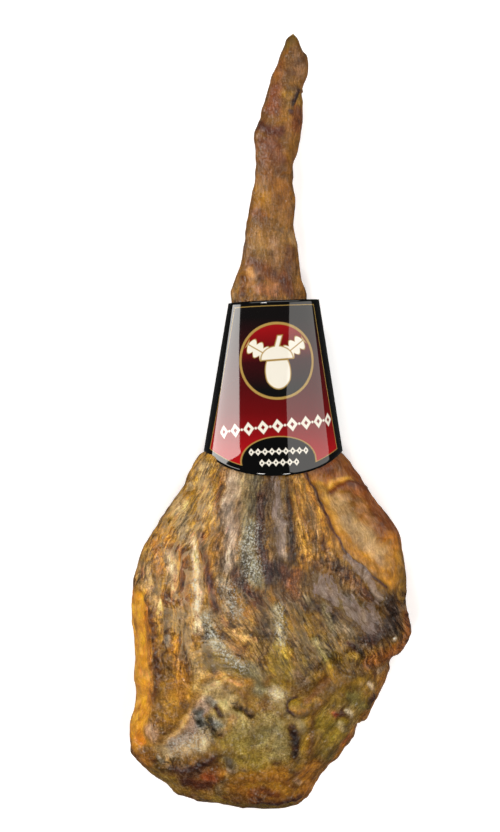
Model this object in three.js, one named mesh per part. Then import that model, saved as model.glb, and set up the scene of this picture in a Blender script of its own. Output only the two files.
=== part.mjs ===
// A bone-in cured ham, hoof off, lying on its skin side with a printed card sleeve round the knee.
// Millimetres. +Y runs from the butt to the tip of the shank, +X is to the right of someone who looks
// down on the lean face with the shank away from them, and +Z is up. The origin is at the middle of the
// bounding box, on the surface that the ham lies on.
import * as THREE from "three";

// The ham. The body is the meaty part, the knee is the taper that carries the sleeve, and the shank is
// the thin end above it.
const BODY_LENGTH = 330;
const BODY_WIDTH = 270;
const BODY_DEPTH = 127;
const KNEE_LENGTH = 170;
const KNEE_WIDTH = 131;
const KNEE_DEPTH = 98;
const SHANK_LENGTH = 250;
const SHANK_WIDTH = 37;
const SHANK_DEPTH = 41;

// The sleeve: one sheet of card rolled into a cone and glued in a lap underneath.
const SLEEVE_ABOVE_BODY = 16; // from the end of the body to the sleeve's lower edge at its sides
const SLEEVE_HEIGHT = 144; // along the ham, at its sides
const SLEEVE_DIP = 23; // how far the lower edge hangs down over the lean face
const SLEEVE_TILT = 0.045; // how far the upper edge climbs to the right, per millimetre across
const SLEEVE_SLACK = 9; // the gap that the leaning shank leaves on its right at the upper edge
const CARD = 0.6; // thickness of the card
const LAP = 14; // width of the glued lap
const FIT = 0.8; // clearance from the ham to the inside of the sleeve
const SLEEVE_SQUARE = 0.88; // how square its section is, counted as the ham's sections are

// The mesh.
const RING_STEP = 10; // the most that two rings of the ham lie apart
const FINE_STEP = 4; // and the most round the lower edge of the sleeve, where the ham flares out
const AROUND = 48; // points in a ring of the ham
const SLEEVE_AROUND = 60;
const SLEEVE_ROWS = 4;

// Sections of the ham, from the butt to the tip. Each row holds where the section is along its stretch,
// its left and right edges, the height of its underside, of its widest level and of its top, and how
// square it is, where 1 is an ellipse and less is squarer. Along is a share of the stretch's length,
// left and right are shares of its width, and the heights are shares of its depth. An underside below
// zero is pressed flat where the ham lies.
const bodyRows = [
  [0.0, -0.03, -0.03, 0.4, 0.4, 0.4, 1],
  [0.012, -0.19, 0.07, 0.27, 0.38, 0.5, 1],
  [0.03, -0.3, 0.122, 0.17, 0.36, 0.58, 0.97],
  [0.075, -0.39, 0.167, 0.06, 0.34, 0.68, 0.93],
  [0.16, -0.495, 0.25, 0.0, 0.32, 0.8, 0.89],
  [0.27, -0.507, 0.335, -0.04, 0.32, 0.9, 0.86],
  [0.38, -0.5, 0.4, -0.05, 0.33, 0.97, 0.86],
  [0.45, -0.497, 0.445, -0.05, 0.34, 0.99, 0.86],
  [0.53, -0.503, 0.493, -0.05, 0.35, 1.0, 0.86],
  [0.62, -0.503, 0.482, -0.045, 0.37, 0.98, 0.86],
  [0.72, -0.476, 0.48, -0.04, 0.38, 0.95, 0.87],
  [0.82, -0.415, 0.45, -0.02, 0.38, 0.9, 0.88],
  [0.92, -0.335, 0.37, 0.0, 0.38, 0.85, 0.91],
];
const kneeRows = [
  [0.0, -0.59, 0.595, 0.045, 0.45, 1.02, 0.95],
  [0.075, -0.53, 0.535, 0.055, 0.45, 0.995, 0.96],
  [0.105, -0.475, 0.5, 0.06, 0.46, 0.985, 0.96],
  [0.3, -0.435, 0.465, 0.092, 0.475, 0.915, 0.94],
  [0.53, -0.38, 0.4, 0.122, 0.465, 0.84, 0.95],
  [0.77, -0.335, 0.325, 0.148, 0.455, 0.77, 0.96],
  [0.95, -0.295, 0.26, 0.165, 0.445, 0.73, 0.97],
];
const shankRows = [
  [0.045, -0.97, 0.81, 0.42, 1.05, 1.67, 0.98],
  [0.115, -0.79, 0.745, 0.44, 1.03, 1.61, 0.98],
  [0.19, -0.71, 0.68, 0.47, 1.02, 1.55, 0.98],
  [0.3, -0.6, 0.61, 0.5, 1.02, 1.52, 0.97],
  [0.36, -0.54, 0.63, 0.52, 1.03, 1.52, 0.97],
  [0.43, -0.44, 0.56, 0.52, 1.03, 1.5, 0.97],
  [0.49, -0.43, 0.58, 0.51, 1.04, 1.54, 0.97],
  [0.58, -0.43, 0.74, 0.5, 1.05, 1.6, 0.97],
  [0.67, -0.31, 0.83, 0.51, 1.05, 1.61, 0.96],
  [0.74, -0.18, 0.82, 0.53, 1.05, 1.56, 0.95],
  [0.8, -0.06, 0.78, 0.56, 1.05, 1.52, 0.95],
  [0.86, 0.09, 0.95, 0.6, 1.05, 1.46, 0.95],
  [0.92, 0.25, 0.88, 0.7, 1.04, 1.35, 0.96],
  [0.97, 0.42, 0.7, 0.86, 1.03, 1.2, 1],
  [1.0, 0.56, 0.56, 1.02, 1.02, 1.02, 1],
];

// Relief of the lean face, in shares of the body's width and length, counted as the sections are.
// A mound has its centre, its reach along and across, how far it is turned, and its height.
const mounds = [
  // The aitch bone, which stands out of the cut face, and its wider head.
  { at: [-0.28, 0.245], reach: [50, 16], turn: 40, height: 9 },
  { at: [-0.19, 0.3], reach: [24, 22], turn: 0, height: 6 },
  // The fat pad on the inside of the knee, and the corner of the flank.
  { at: [0.33, 0.79], reach: [60, 26], turn: -51, height: 7 },
  { at: [0.45, 0.52], reach: [18, 18], turn: 0, height: 4 },
  // The tongue of dried meat beside the hip joint.
  { at: [0.155, 0.385], reach: [34, 9], turn: 35, height: 5 },
];
// A crease has the points it runs through, its depth and its half width.
const creases = [
  // Between the lean face and the fat pad.
  {
    path: [
      [0.11, 0.99],
      [0.145, 0.93],
      [0.18, 0.86],
      [0.225, 0.785],
      [0.28, 0.72],
      [0.345, 0.655],
      [0.41, 0.61],
    ],
    depth: 6,
    width: 6,
  },
  // Between the two big muscles down the middle.
  {
    path: [
      [-0.03, 0.97],
      [-0.03, 0.88],
      [-0.02, 0.77],
      [-0.01, 0.68],
    ],
    depth: 4,
    width: 7,
  },
  {
    path: [
      [-0.255, 0.785],
      [-0.22, 0.7],
      [-0.185, 0.6],
    ],
    depth: 4,
    width: 6,
  },
  // Inside the roll of fat along the left edge.
  {
    path: [
      [-0.4, 0.22],
      [-0.4, 0.35],
      [-0.405, 0.425],
      [-0.42, 0.51],
      [-0.435, 0.6],
      [-0.44, 0.67],
    ],
    depth: 5,
    width: 6,
  },
  // Under the aitch bone.
  {
    path: [
      [-0.36, 0.11],
      [-0.29, 0.15],
      [-0.2, 0.19],
      [-0.13, 0.24],
    ],
    depth: 8,
    width: 10,
  },
];

const clamp01 = (t) => Math.min(1, Math.max(0, t));
const smooth = (t) => clamp01(t) ** 2 * (3 - 2 * clamp01(t));
const power = (value, exponent) =>
  Math.sign(value) * Math.abs(value) ** exponent;

// Turns a stretch's rows from shares into millimetres: { y, left, right, under, level, top, square }.
function stretch(rows, start, length, width, depth) {
  return rows.map(([along, left, right, under, level, top, square]) => ({
    y: start + along * length,
    left: left * width,
    right: right * width,
    under: under * depth,
    level: level * depth,
    top: top * depth,
    square,
  }));
}

const sections = [
  ...stretch(bodyRows, 0, BODY_LENGTH, BODY_WIDTH, BODY_DEPTH),
  ...stretch(kneeRows, BODY_LENGTH, KNEE_LENGTH, KNEE_WIDTH, KNEE_DEPTH),
  ...stretch(
    shankRows,
    BODY_LENGTH + KNEE_LENGTH,
    SHANK_LENGTH,
    SHANK_WIDTH,
    SHANK_DEPTH,
  ),
];
const KEYS = Object.keys(sections[0]);

// The section before the first, mirrored through it, so that the butt is round and not a point.
function mirrored(end, next) {
  const made = {};
  for (const key of KEYS) made[key] = 2 * end[key] - next[key];
  return { ...made, y: next.y, square: next.square };
}

// The section at a place between two given ones, on a Catmull-Rom curve through all of them.
function sectionAt(place) {
  const i = Math.min(sections.length - 2, Math.floor(place));
  const t = place - i;
  const b = sections[i];
  const c = sections[i + 1];
  const a = sections[i - 1] ?? mirrored(b, c);
  const d = sections[i + 2] ?? c;
  const made = {};
  for (const key of KEYS) {
    const slopeB = (c[key] - a[key]) / 2;
    const slopeC = (d[key] - b[key]) / 2;
    const rise = c[key] - b[key];
    made[key] =
      b[key] +
      t *
        (slopeB +
          t * (3 * rise - 2 * slopeB - slopeC + t * (slopeB + slopeC - 2 * rise)));
  }
  return made;
}

// The section at a distance from the butt, found by halving, because y rises from row to row.
function sectionAtY(y) {
  let low = 0;
  let high = sections.length - 1;
  for (let i = 0; i < 40; i++) {
    const middle = (low + high) / 2;
    if (sectionAt(middle).y < y) low = middle;
    else high = middle;
  }
  return sectionAt(low);
}

// A point of a section's outline at an angle: 0 is its right edge and a quarter turn its top.
function outlinePoint(section, angle) {
  const { left, right, under, level, top, square } = section;
  const across = power(Math.cos(angle), square);
  const up = power(Math.sin(angle), square);
  return {
    x: (left + right) / 2 + (across * (right - left)) / 2,
    z: level + up * (up > 0 ? top - level : level - under),
  };
}

const sleeveLow = BODY_LENGTH + SLEEVE_ABOVE_BODY;
const sleeveHigh = sleeveLow + SLEEVE_HEIGHT;

// How high the relief stands over the plain section, in millimetres. It fades out before the sleeve.
function reliefAt(x, y) {
  let height = 0;
  for (const { at, reach, turn, height: peak } of mounds) {
    const angle = THREE.MathUtils.degToRad(turn);
    const dx = x - at[0] * BODY_WIDTH;
    const dy = y - at[1] * BODY_LENGTH;
    const along = (dx * Math.cos(angle) + dy * Math.sin(angle)) / reach[0];
    const across = (dy * Math.cos(angle) - dx * Math.sin(angle)) / reach[1];
    height += peak * Math.exp(-(along ** 2) - across ** 2);
  }
  for (const { path, depth, width } of creases) {
    const away = distanceTo(
      path.map(([px, py]) => [px * BODY_WIDTH, py * BODY_LENGTH]),
      x,
      y,
    );
    height -= depth * Math.exp(-((away / width) ** 2));
  }
  const fade = smooth((sleeveLow - SLEEVE_DIP - 2 - y) / 20);
  return height * fade;
}

// The distance from (x, y) to the nearest place on a path of straight stretches.
function distanceTo(path, x, y) {
  let nearest = Infinity;
  for (let i = 1; i < path.length; i++) {
    const [ax, ay] = path[i - 1];
    const [bx, by] = path[i];
    const squared = (bx - ax) ** 2 + (by - ay) ** 2;
    const t = clamp01(((x - ax) * (bx - ax) + (y - ay) * (by - ay)) / squared);
    nearest = Math.min(
      nearest,
      Math.hypot(x - ax - t * (bx - ax), y - ay - t * (by - ay)),
    );
  }
  return nearest;
}

// A closed surface through rings of equal length. The first and last ring may be single points.
function closedLoft(rings) {
  const position = [];
  const index = [];
  const starts = [];
  for (const ring of rings) {
    starts.push(position.length / 3);
    for (const point of ring) position.push(point.x, point.y, point.z);
  }
  for (let i = 1; i < rings.length; i++) {
    const here = rings[i - 1].length;
    const next = rings[i].length;
    const count = Math.max(here, next);
    for (let j = 0; j < count; j++) {
      const k = (j + 1) % count;
      const a = starts[i - 1] + (here > 1 ? j : 0);
      const b = starts[i - 1] + (here > 1 ? k : 0);
      const c = starts[i] + (next > 1 ? j : 0);
      const d = starts[i] + (next > 1 ? k : 0);
      if (here > 1) index.push(a, c, b);
      if (next > 1) index.push(b, c, d);
    }
  }
  return new THREE.BufferGeometry()
    .setAttribute("position", new THREE.Float32BufferAttribute(position, 3))
    .setIndex(index);
}

function hamGeometry() {
  const rings = [];
  for (let i = 0; i < sections.length - 1; i++) {
    const run = sections[i + 1].y - sections[i].y;
    const bySleeve = Math.abs(sections[i].y - sleeveLow) < 4 * RING_STEP;
    const steps = Math.max(1, Math.ceil(run / (bySleeve ? FINE_STEP : RING_STEP)));
    for (let j = 0; j < steps; j++) rings.push(hamRing(i + j / steps));
  }
  rings.push(hamRing(sections.length - 1));
  return closedLoft(rings);
}

function hamRing(place) {
  const section = sectionAt(place);
  if (section.right - section.left < 1e-6)
    return [new THREE.Vector3(section.left, section.y, section.level)];
  const ring = [];
  for (let j = 0; j < AROUND; j++) {
    const angle = (2 * Math.PI * j) / AROUND;
    const { x, z } = outlinePoint(section, angle);
    const facing = smooth(Math.sin(angle) / 0.35);
    const height = z + facing * reliefAt(x, section.y);
    ring.push(new THREE.Vector3(x, section.y, Math.max(0, height)));
  }
  return ring;
}

// One edge of the sleeve's cone: a straight line over its height that the same edge of the ham touches.
// side is 1 for an edge that grows outwards with its value and -1 for one that falls.
function edgeAround(key, side, slack = 0) {
  const edge = {
    side,
    low: sectionAtY(sleeveLow)[key],
    high: sectionAtY(sleeveHigh)[key] + side * slack,
  };
  let proud = 0;
  for (let y = sleeveLow; y <= sleeveHigh + SLEEVE_TILT * KNEE_WIDTH; y++)
    proud = Math.max(proud, side * (sectionAtY(y)[key] - alongEdge(edge, y)));
  return moved(edge, proud);
}

function alongEdge({ low, high }, y) {
  return low + ((high - low) * (y - sleeveLow)) / SLEEVE_HEIGHT;
}

function moved({ side, low, high }, out) {
  return { side, low: low + side * out, high: high + side * out };
}

// The section of the cone at a distance from the butt. Where its lower edge hangs down over the lean
// face, the card is bent outwards as the ham widens.
function sleeveSection(edges, y) {
  const held = Math.max(y, sleeveLow);
  const ham = sectionAtY(y);
  const hamHeld = sectionAtY(held);
  return {
    left: alongEdge(edges.left, held) + ham.left - hamHeld.left,
    right: alongEdge(edges.right, held) + ham.right - hamHeld.right,
    under: alongEdge(edges.under, y),
    top: alongEdge(edges.top, y),
    level: ham.level,
    square: SLEEVE_SQUARE,
  };
}

// How far from the butt the sleeve is at an angle, at a share of its height there. Its lower edge hangs
// down in front in an arc, and its upper edge is cut on a slant.
function sleeveReach(angle, share) {
  const low = sleeveLow - SLEEVE_DIP * Math.max(0, Math.sin(angle)) ** 2;
  const { left, right } = sectionAtY(sleeveHigh);
  const across = (Math.cos(angle) * (right - left)) / 2;
  return low + (sleeveHigh + SLEEVE_TILT * across - low) * share;
}

// How far the ham stands out of the cone at the most, over the half turn that starts at an angle.
function shortfall(edges, start) {
  let most = 0;
  for (let angle = start; angle <= start + Math.PI; angle += Math.PI / 48) {
    for (let share = 0; share <= 1; share += 0.02) {
      const y = sleeveReach(angle, share);
      const cone = sleeveSection(edges, y);
      const { x, z } = outlinePoint(sectionAtY(y), angle);
      const dx = x - (cone.left + cone.right) / 2;
      const dz = z - cone.level;
      const reachX = (cone.right - cone.left) / 2;
      const reachZ = dz > 0 ? cone.top - cone.level : cone.level - cone.under;
      const sum =
        Math.abs(dx / reachX) ** (2 / cone.square) +
        Math.abs(dz / reachZ) ** (2 / cone.square);
      const out = Math.hypot(dx, dz) * (1 - sum ** (-cone.square / 2));
      most = Math.max(most, out);
    }
  }
  return most;
}

// The card between its inner and outer faces. Each column runs up the inside and down the outside.
function sleeveGeometry() {
  const touching = {
    left: edgeAround("left", -1),
    right: edgeAround("right", 1, SLEEVE_SLACK),
    under: edgeAround("under", -1),
    top: edgeAround("top", 1),
  };
  const upper = shortfall(touching, 0);
  const lower = shortfall(touching, Math.PI);
  const edges = {
    left: moved(touching.left, Math.max(upper, lower) + FIT),
    right: moved(touching.right, Math.max(upper, lower) + FIT),
    under: moved(touching.under, lower + FIT),
    top: moved(touching.top, upper + FIT),
  };
  const columns = [];
  for (let j = 0; j < SLEEVE_AROUND; j++) {
    const angle = (2 * Math.PI * (j + 0.5)) / SLEEVE_AROUND;
    const inLap = Math.abs(angle - 1.5 * Math.PI) < LAP / KNEE_WIDTH;
    const inside = sleeveColumn(edges, angle, 0);
    const outside = sleeveColumn(edges, angle, inLap ? 2 * CARD : CARD);
    columns.push([...inside, ...outside.reverse()]);
  }
  return closedTube(columns);
}

function sleeveColumn(edges, angle, out) {
  const column = [];
  for (let i = 0; i <= SLEEVE_ROWS; i++) {
    const y = sleeveReach(angle, i / SLEEVE_ROWS);
    const section = sleeveSection(edges, y);
    section.left -= out;
    section.right += out;
    section.under -= out;
    section.top += out;
    const { x, z } = outlinePoint(section, angle);
    column.push(new THREE.Vector3(x, y, z));
  }
  return column;
}

// A closed ring of a surface whose columns are closed loops themselves.
function closedTube(columns) {
  const rows = columns[0].length;
  const position = columns.flat().flatMap((p) => [p.x, p.y, p.z]);
  const index = [];
  for (let j = 0; j < columns.length; j++) {
    const next = (j + 1) % columns.length;
    for (let i = 0; i < rows; i++) {
      const up = (i + 1) % rows;
      const a = j * rows + i;
      const b = j * rows + up;
      const c = next * rows + i;
      const d = next * rows + up;
      index.push(a, c, b, b, c, d);
    }
  }
  return new THREE.BufferGeometry()
    .setAttribute("position", new THREE.Float32BufferAttribute(position, 3))
    .setIndex(index);
}

function piece(name, geometry, material) {
  geometry.computeVertexNormals();
  const mesh = new THREE.Mesh(geometry, material);
  mesh.name = name;
  return mesh;
}

const curedMeat = new THREE.MeshStandardMaterial({
  color: new THREE.Color(0x9a6a35),
  roughness: 0.45,
  metalness: 0,
});
const glossCard = new THREE.MeshStandardMaterial({
  color: new THREE.Color(0x7a0d12),
  roughness: 0.12,
  metalness: 0,
});

const curedHam = new THREE.Group();
curedHam.add(piece("ham", hamGeometry(), curedMeat));
curedHam.add(piece("label_sleeve", sleeveGeometry(), glossCard));

// The origin goes to the middle of the box, at its lowest level.
const box = new THREE.Box3().setFromObject(curedHam);
const middle = box.getCenter(new THREE.Vector3());
curedHam.position.set(-middle.x, -middle.y, -box.min.z);

export default curedHam;
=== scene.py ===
"""A bone-in cured ham with a printed card sleeve round its knee, lying on its skin side."""

import math

import bpy
import numpy as np
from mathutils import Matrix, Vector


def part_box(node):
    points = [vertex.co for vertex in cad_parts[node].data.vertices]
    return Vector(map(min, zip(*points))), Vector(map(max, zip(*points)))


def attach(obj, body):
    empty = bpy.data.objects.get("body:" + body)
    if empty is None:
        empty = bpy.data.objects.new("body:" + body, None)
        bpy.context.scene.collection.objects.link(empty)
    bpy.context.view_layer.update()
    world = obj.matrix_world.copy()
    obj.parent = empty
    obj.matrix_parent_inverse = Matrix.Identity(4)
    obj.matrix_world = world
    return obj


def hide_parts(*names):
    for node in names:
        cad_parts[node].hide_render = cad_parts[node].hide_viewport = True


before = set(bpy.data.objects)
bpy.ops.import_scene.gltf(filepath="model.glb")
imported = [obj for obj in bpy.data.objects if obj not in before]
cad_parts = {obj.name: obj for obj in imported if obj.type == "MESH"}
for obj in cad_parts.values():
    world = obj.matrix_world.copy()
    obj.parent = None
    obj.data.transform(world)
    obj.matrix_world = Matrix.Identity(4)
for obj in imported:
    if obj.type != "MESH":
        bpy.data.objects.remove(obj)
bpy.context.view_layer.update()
ham_low, ham_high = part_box("ham")
ham_span = ham_high - ham_low
ham_middle = (ham_low + ham_high) / 2


# The studio. A pale table in a pale round room, seen straight from above through a long lens. A tall
# soft light stands on each side and a wide one beyond the tip, and three small ones make the fat glisten.
LENS = 100.0  # millimetres, on a sensor 36 millimetres tall
SENSOR = 36.0
PICTURE_TALL = 1.0733 * ham_span.y  # what the camera takes in, from its foot to its head
PICTURE_LEVEL = 0.36 * ham_high.z  # the level at which it takes in that much
LEFT_OF_MIDDLE = 0.070 * ham_span.x  # where the camera stands from the middle of the ham
ABOVE_MIDDLE = 0.0058 * ham_span.y
WARM = (1.0, 0.97, 0.93)
LIGHTS = {
    # Metres away, degrees from straight up, metres along the ham, width, length and watts.
    "left_box": (2.2, -73.0, 0.5, 0.75, 3.2, 40.0),
    "right_box": (2.2, 52.0, 0.5, 1.56, 3.2, 26.0),
    "head_box": (1.0, 0.0, 1.9, 2.4, 0.8, 9.0),
    "left_glint": (2.2, -12.0, -0.9, 0.34, 0.34, 14.0),
    "right_glint": (2.2, 14.0, -1.1, 0.34, 0.34, 13.0),
    "head_glint": (2.1, -14.0, 1.7, 0.34, 0.34, 14.0),
}
ROOM_LIGHT = 0.05
TABLE_REACH = 12.0
TABLE_GREY, TABLE_GLOW = 0.93, 0.42
WALL_RADIUS, WALL_TALL, WALL_FOOT = 0.98 * TABLE_REACH, 9.0, -0.5
WALL_SIDES = 64
WALL_GLOW = 0.80

camera = bpy.data.objects.new("camera", bpy.data.cameras.new("camera"))
camera.data.lens = LENS
camera.data.sensor_width = SENSOR
camera.data.clip_end = 50.0
camera.location = (
    ham_middle.x - LEFT_OF_MIDDLE,
    ham_middle.y + ABOVE_MIDDLE,
    PICTURE_LEVEL + PICTURE_TALL * LENS / SENSOR,
)
bpy.context.scene.collection.objects.link(camera)
bpy.context.scene.camera = camera
bpy.context.scene.view_settings.view_transform = "Standard"

for name, (away, lean, ahead, wide, tall, watts) in LIGHTS.items():
    light = bpy.data.objects.new(name, bpy.data.lights.new(name, "AREA"))
    light.data.shape = "RECTANGLE"
    light.data.size = wide
    light.data.size_y = tall
    light.data.energy = watts
    light.data.color = WARM
    turn = math.radians(lean)
    light.location = (away * math.sin(turn), ahead, away * math.cos(turn))
    light.rotation_euler = (-light.location).to_track_quat("-Z", "Y").to_euler()
    bpy.context.scene.collection.objects.link(light)

world = bpy.data.worlds.new("room")
world.use_nodes = True
world.node_tree.nodes["Background"].inputs["Color"].default_value = (1.0, 1.0, 1.0, 1.0)
world.node_tree.nodes["Background"].inputs["Strength"].default_value = ROOM_LIGHT
bpy.context.scene.world = world


def room_piece(name, points, faces, grey, shine, glow):
    """A plain piece of the room, of one grey that also glows a little. The varnish and the wet meat
    don't mirror it."""
    paint = bpy.data.materials.new("pale_" + name)
    paint.use_nodes = True
    settings = paint.node_tree.nodes["Principled BSDF"].inputs
    settings["Base Color"].default_value = (grey, grey, grey, 1.0)
    settings["Roughness"].default_value = 0.9
    settings["Specular IOR Level"].default_value = shine
    settings["Emission Color"].default_value = (1.0, 1.0, 1.0, 1.0)
    settings["Emission Strength"].default_value = glow
    mesh = bpy.data.meshes.new(name)
    mesh.from_pydata(points, [], faces)
    mesh.materials.append(paint)
    piece = bpy.data.objects.new(name, mesh)
    piece.visible_glossy = False
    bpy.context.scene.collection.objects.link(piece)
    return piece


corners = np.array([(-1, -1, 0), (1, -1, 0), (1, 1, 0), (-1, 1, 0)]) * TABLE_REACH
room_piece("table", corners + (0, 0, ham_low.z), [(0, 1, 2, 3)], TABLE_GREY, 0.1, TABLE_GLOW)

# Only the camera sees the wall, so it neither lights the ham nor shades it.
wall_angle = 2 * math.pi * np.arange(WALL_SIDES) / WALL_SIDES
ring = np.stack([np.cos(wall_angle), np.sin(wall_angle), 0 * wall_angle], -1) * WALL_RADIUS
at = np.arange(WALL_SIDES)
following = np.roll(at, -1)
panels = np.stack([following, at, at + WALL_SIDES, following + WALL_SIDES], -1)
ring_pair = np.concatenate([ring + (0, 0, ham_low.z + WALL_FOOT), ring + (0, 0, WALL_TALL)])
wall = room_piece("wall", ring_pair, panels.tolist(), 0.0, 0.0, WALL_GLOW)
wall.visible_diffuse = False
wall.visible_shadow = False


# The ham. One thing grown as a piece: a flat lean face of dried muscle, a roll of fat round its left
# edge, a fat pad by the knee, the sawn aitch bone at the butt, a thin shank, and rind underneath. It is
# drawn in its own millimetres, x across and s from the butt to the tip, and then set into the frame.
DRAWN = (270.4, 750.0, 127.2)  # its width, length and thickness in the drawing
DRAWN_MIDDLE = -1.9  # where the middle of its width lies

# Its section at places along s: how far it reaches to the left and to the right, the levels of its
# underside, of its widest place and of its lean face, and a power, 1 for an oval and less for a
# squarer shape.
LEFT_EDGE = [
    (0, -8), (2, -26), (5, -56), (10, -79), (17, -95), (25, -104), (33, -115), (41, -125), (48, -131),
    (56, -135.5), (72, -137), (87, -136), (110, -133), (126, -134), (149, -133), (172, -134.5),
    (188, -136), (203, -135.5), (219, -133), (234, -129), (250, -124), (265, -116), (281, -106),
    (296, -96), (305, -89), (312, -84), (319, -81.5), (335, -75), (342, -70), (346, -64), (351, -61),
    (380, -55.5), (420, -48.8), (460, -42), (487, -38.5), (497, -40), (506, -37.5), (513, -35),
    (528, -29.5), (544, -26.6), (575, -21.8), (598, -18), (610, -16), (637, -15.5), (652, -16.2),
    (658, -14), (668, -11), (675, -10.5), (683, -7.3), (699, -2.4), (714, 3.4), (730, 9.2), (738, 12.5),
    (745, 16), (750, 21),
]
RIGHT_EDGE = [
    (0, -8), (1.5, 16), (5, 27), (10, 33), (17, 40), (25, 45), (33, 50), (41, 57.6), (48, 65),
    (56, 71), (65, 78), (72, 82), (80, 83), (84, 83), (86.5, 91), (91, 94.5), (103, 101), (118, 108),
    (133, 112.5), (142, 114), (147, 117), (150, 124), (157, 129.5), (165, 132), (173, 133.3), (180, 133),
    (190, 130), (219, 130), (237, 129.5), (250, 128), (265, 125), (281, 115), (296, 103), (312, 92.5),
    (327, 82), (335, 76), (342, 70), (346, 66), (351, 63), (380, 58.5), (420, 50.5), (460, 41),
    (487, 34.5), (497, 33.4), (513, 29.5), (528, 27.6), (544, 25.6), (559, 21.8), (575, 22.7),
    (590, 23.7), (598, 22.7), (606, 20.8), (621, 20.8), (637, 25.6), (652, 28.5), (668, 30.5),
    (683, 30.5), (688, 28.7), (692, 27.4), (697, 29.8), (714, 35.3), (722, 34.4), (728, 33.5),
    (731, 30.5), (738, 27.4), (745, 24.5), (750, 21),
]
UNDERSIDE = [
    (0, 51), (2, 36), (10, 22), (25, 8), (53, 0.5), (89, -4), (125, -6), (205, -6), (238, -5),
    (271, -2.5), (304, 0.5), (330, 4.4), (348, 6.2), (381, 9), (420, 12), (461, 14.5), (491, 16.2),
    (529, 18), (575, 20.5), (607, 21.3), (645, 20.5), (685, 21.7), (715, 24.6), (730, 28.7), (742, 35),
    (750, 42),
]
WIDEST_LEVEL = [
    (0, 51), (4, 48.3), (10, 45.7), (25, 43), (53, 40.6), (125, 42), (175, 44.5), (238, 48), (304, 46.5),
    (348, 45), (420, 45.6), (491, 43.6), (550, 41.8), (607, 42.2), (685, 43), (750, 42),
]
LEAN_FACE = [
    (0, 51), (2, 60), (10, 73), (25, 86), (53, 101.6), (89, 114.3), (125, 122.5), (148, 124.5),
    (175, 124.5), (205, 122.5), (238, 119), (271, 114.3), (304, 108), (330, 100), (348, 96.3),
    (381, 89.5), (420, 82), (461, 75.2), (491, 71.2), (511, 68.5), (529, 66), (547, 63.5), (575, 62.3),
    (607, 61.5), (645, 65.6), (667, 66), (685, 64), (700, 62.3), (715, 59.9), (730, 55.4), (742, 49.2),
    (750, 42),
]
SQUARENESS = [
    (0, 1), (10, 0.97), (25, 0.93), (53, 0.89), (89, 0.86), (205, 0.86), (271, 0.88), (304, 0.91),
    (330, 0.95), (348, 0.96), (491, 0.97), (607, 0.97), (715, 0.95), (750, 1),
]
SLEEVE_LOW, SLEEVE_HIGH = 346.0, 490.0  # the sleeve's edges at its sides, from the butt
SLEEVE_DIP = 23.0  # how much lower its lower edge hangs over the lean face


def along(curve, s):
    """A smooth curve through its points: cubics whose slope at a point is the harmonic mean of the
    slopes on both sides of it, or flat where the curve turns back."""
    at, value = np.array(curve, float).T
    rise = np.diff(value) / np.diff(at)
    before, after = rise[:-1], rise[1:]
    same_way = before * after > 0
    mean = 2 * before * after / np.where(same_way, before + after, 1.0)
    slope = np.concatenate([rise[:1], np.where(same_way, mean, 0.0), rise[-1:]])
    i = np.clip(np.searchsorted(at, s, side="right") - 1, 0, len(at) - 2)
    width = at[i + 1] - at[i]
    t = (s - at[i]) / width
    return (
        value[i] * (1 + 2 * t) * (1 - t) ** 2
        + slope[i] * width * t * (1 - t) ** 2
        + value[i + 1] * t**2 * (3 - 2 * t)
        - slope[i + 1] * width * t**2 * (1 - t)
    )


def signed_power(value, exponent):
    """The power of a value's size, with the value's own sign."""
    return np.sign(value) * np.abs(value) ** exponent


def section(s, angle, grow=0.0):
    """The ham's outline at s: two half ovals that meet at the widest level, made squarer by a power
    below one of their cosine and sine."""
    left, right = along(LEFT_EDGE, s) - grow, along(RIGHT_EDGE, s) + grow
    level, square = along(WIDEST_LEVEL, s), along(SQUARENESS, s)
    up = signed_power(np.sin(angle), square)
    reach = np.where(up > 0, along(LEAN_FACE, s) - level, level - along(UNDERSIDE, s)) + grow
    x = (left + right) / 2 + signed_power(np.cos(angle), square) * (right - left) / 2
    return x, level + up * reach


def smooth(value, start, end):
    """Climbs from 0 at start to 1 at end, level at both."""
    t = np.clip((value - start) / (end - start), 0.0, 1.0)
    return t * t * (3 - 2 * t)


def cloud(points, size, seed, octaves=1):
    """Smooth random values from about -1 to 1: a random number at each corner of a grid of cubes,
    blended between the corners, with finer and weaker grids added for each octave."""
    total = np.zeros(points.shape[:-1])
    for octave in range(octaves):
        q = points / (size / 2**octave) + 17.3 * octave
        cell = np.floor(q).astype(np.int64)
        part = q - cell
        part = part * part * (3 - 2 * part)
        layer = np.zeros(total.shape)
        for corner in np.ndindex(2, 2, 2):
            c = cell + corner
            mixed = c[..., 0] * 73856093 ^ c[..., 1] * 19349663 ^ c[..., 2] * 83492791
            mixed = (mixed ^ seed * 2654435761) & 0xFFFFFFFF
            mixed = (mixed ^ (mixed >> 15)) * 2246822519 & 0xFFFFFFFF
            mixed = (mixed ^ (mixed >> 13)) * 3266489917 & 0xFFFFFFFF
            share = np.where(corner, part, 1 - part).prod(-1)
            layer += share * ((mixed ^ (mixed >> 16)) / 2147483647.5 - 1)
        total += layer / 2**octave
    return total


def distance(path, x, s):
    """How far each place is from a path of straight stretches."""
    path = np.array(path, float)
    if len(path) == 1:
        return np.hypot(x - path[0, 0], s - path[0, 1])
    nearest = np.full(x.shape, np.inf)
    for (ax, ay), (bx, by) in zip(path[:-1], path[1:]):
        dx, dy = bx - ax, by - ay
        t = np.clip(((x - ax) * dx + (s - ay) * dy) / (dx * dx + dy * dy), 0, 1)
        nearest = np.minimum(nearest, np.hypot(x - ax - t * dx, s - ay - t * dy))
    return nearest


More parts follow.
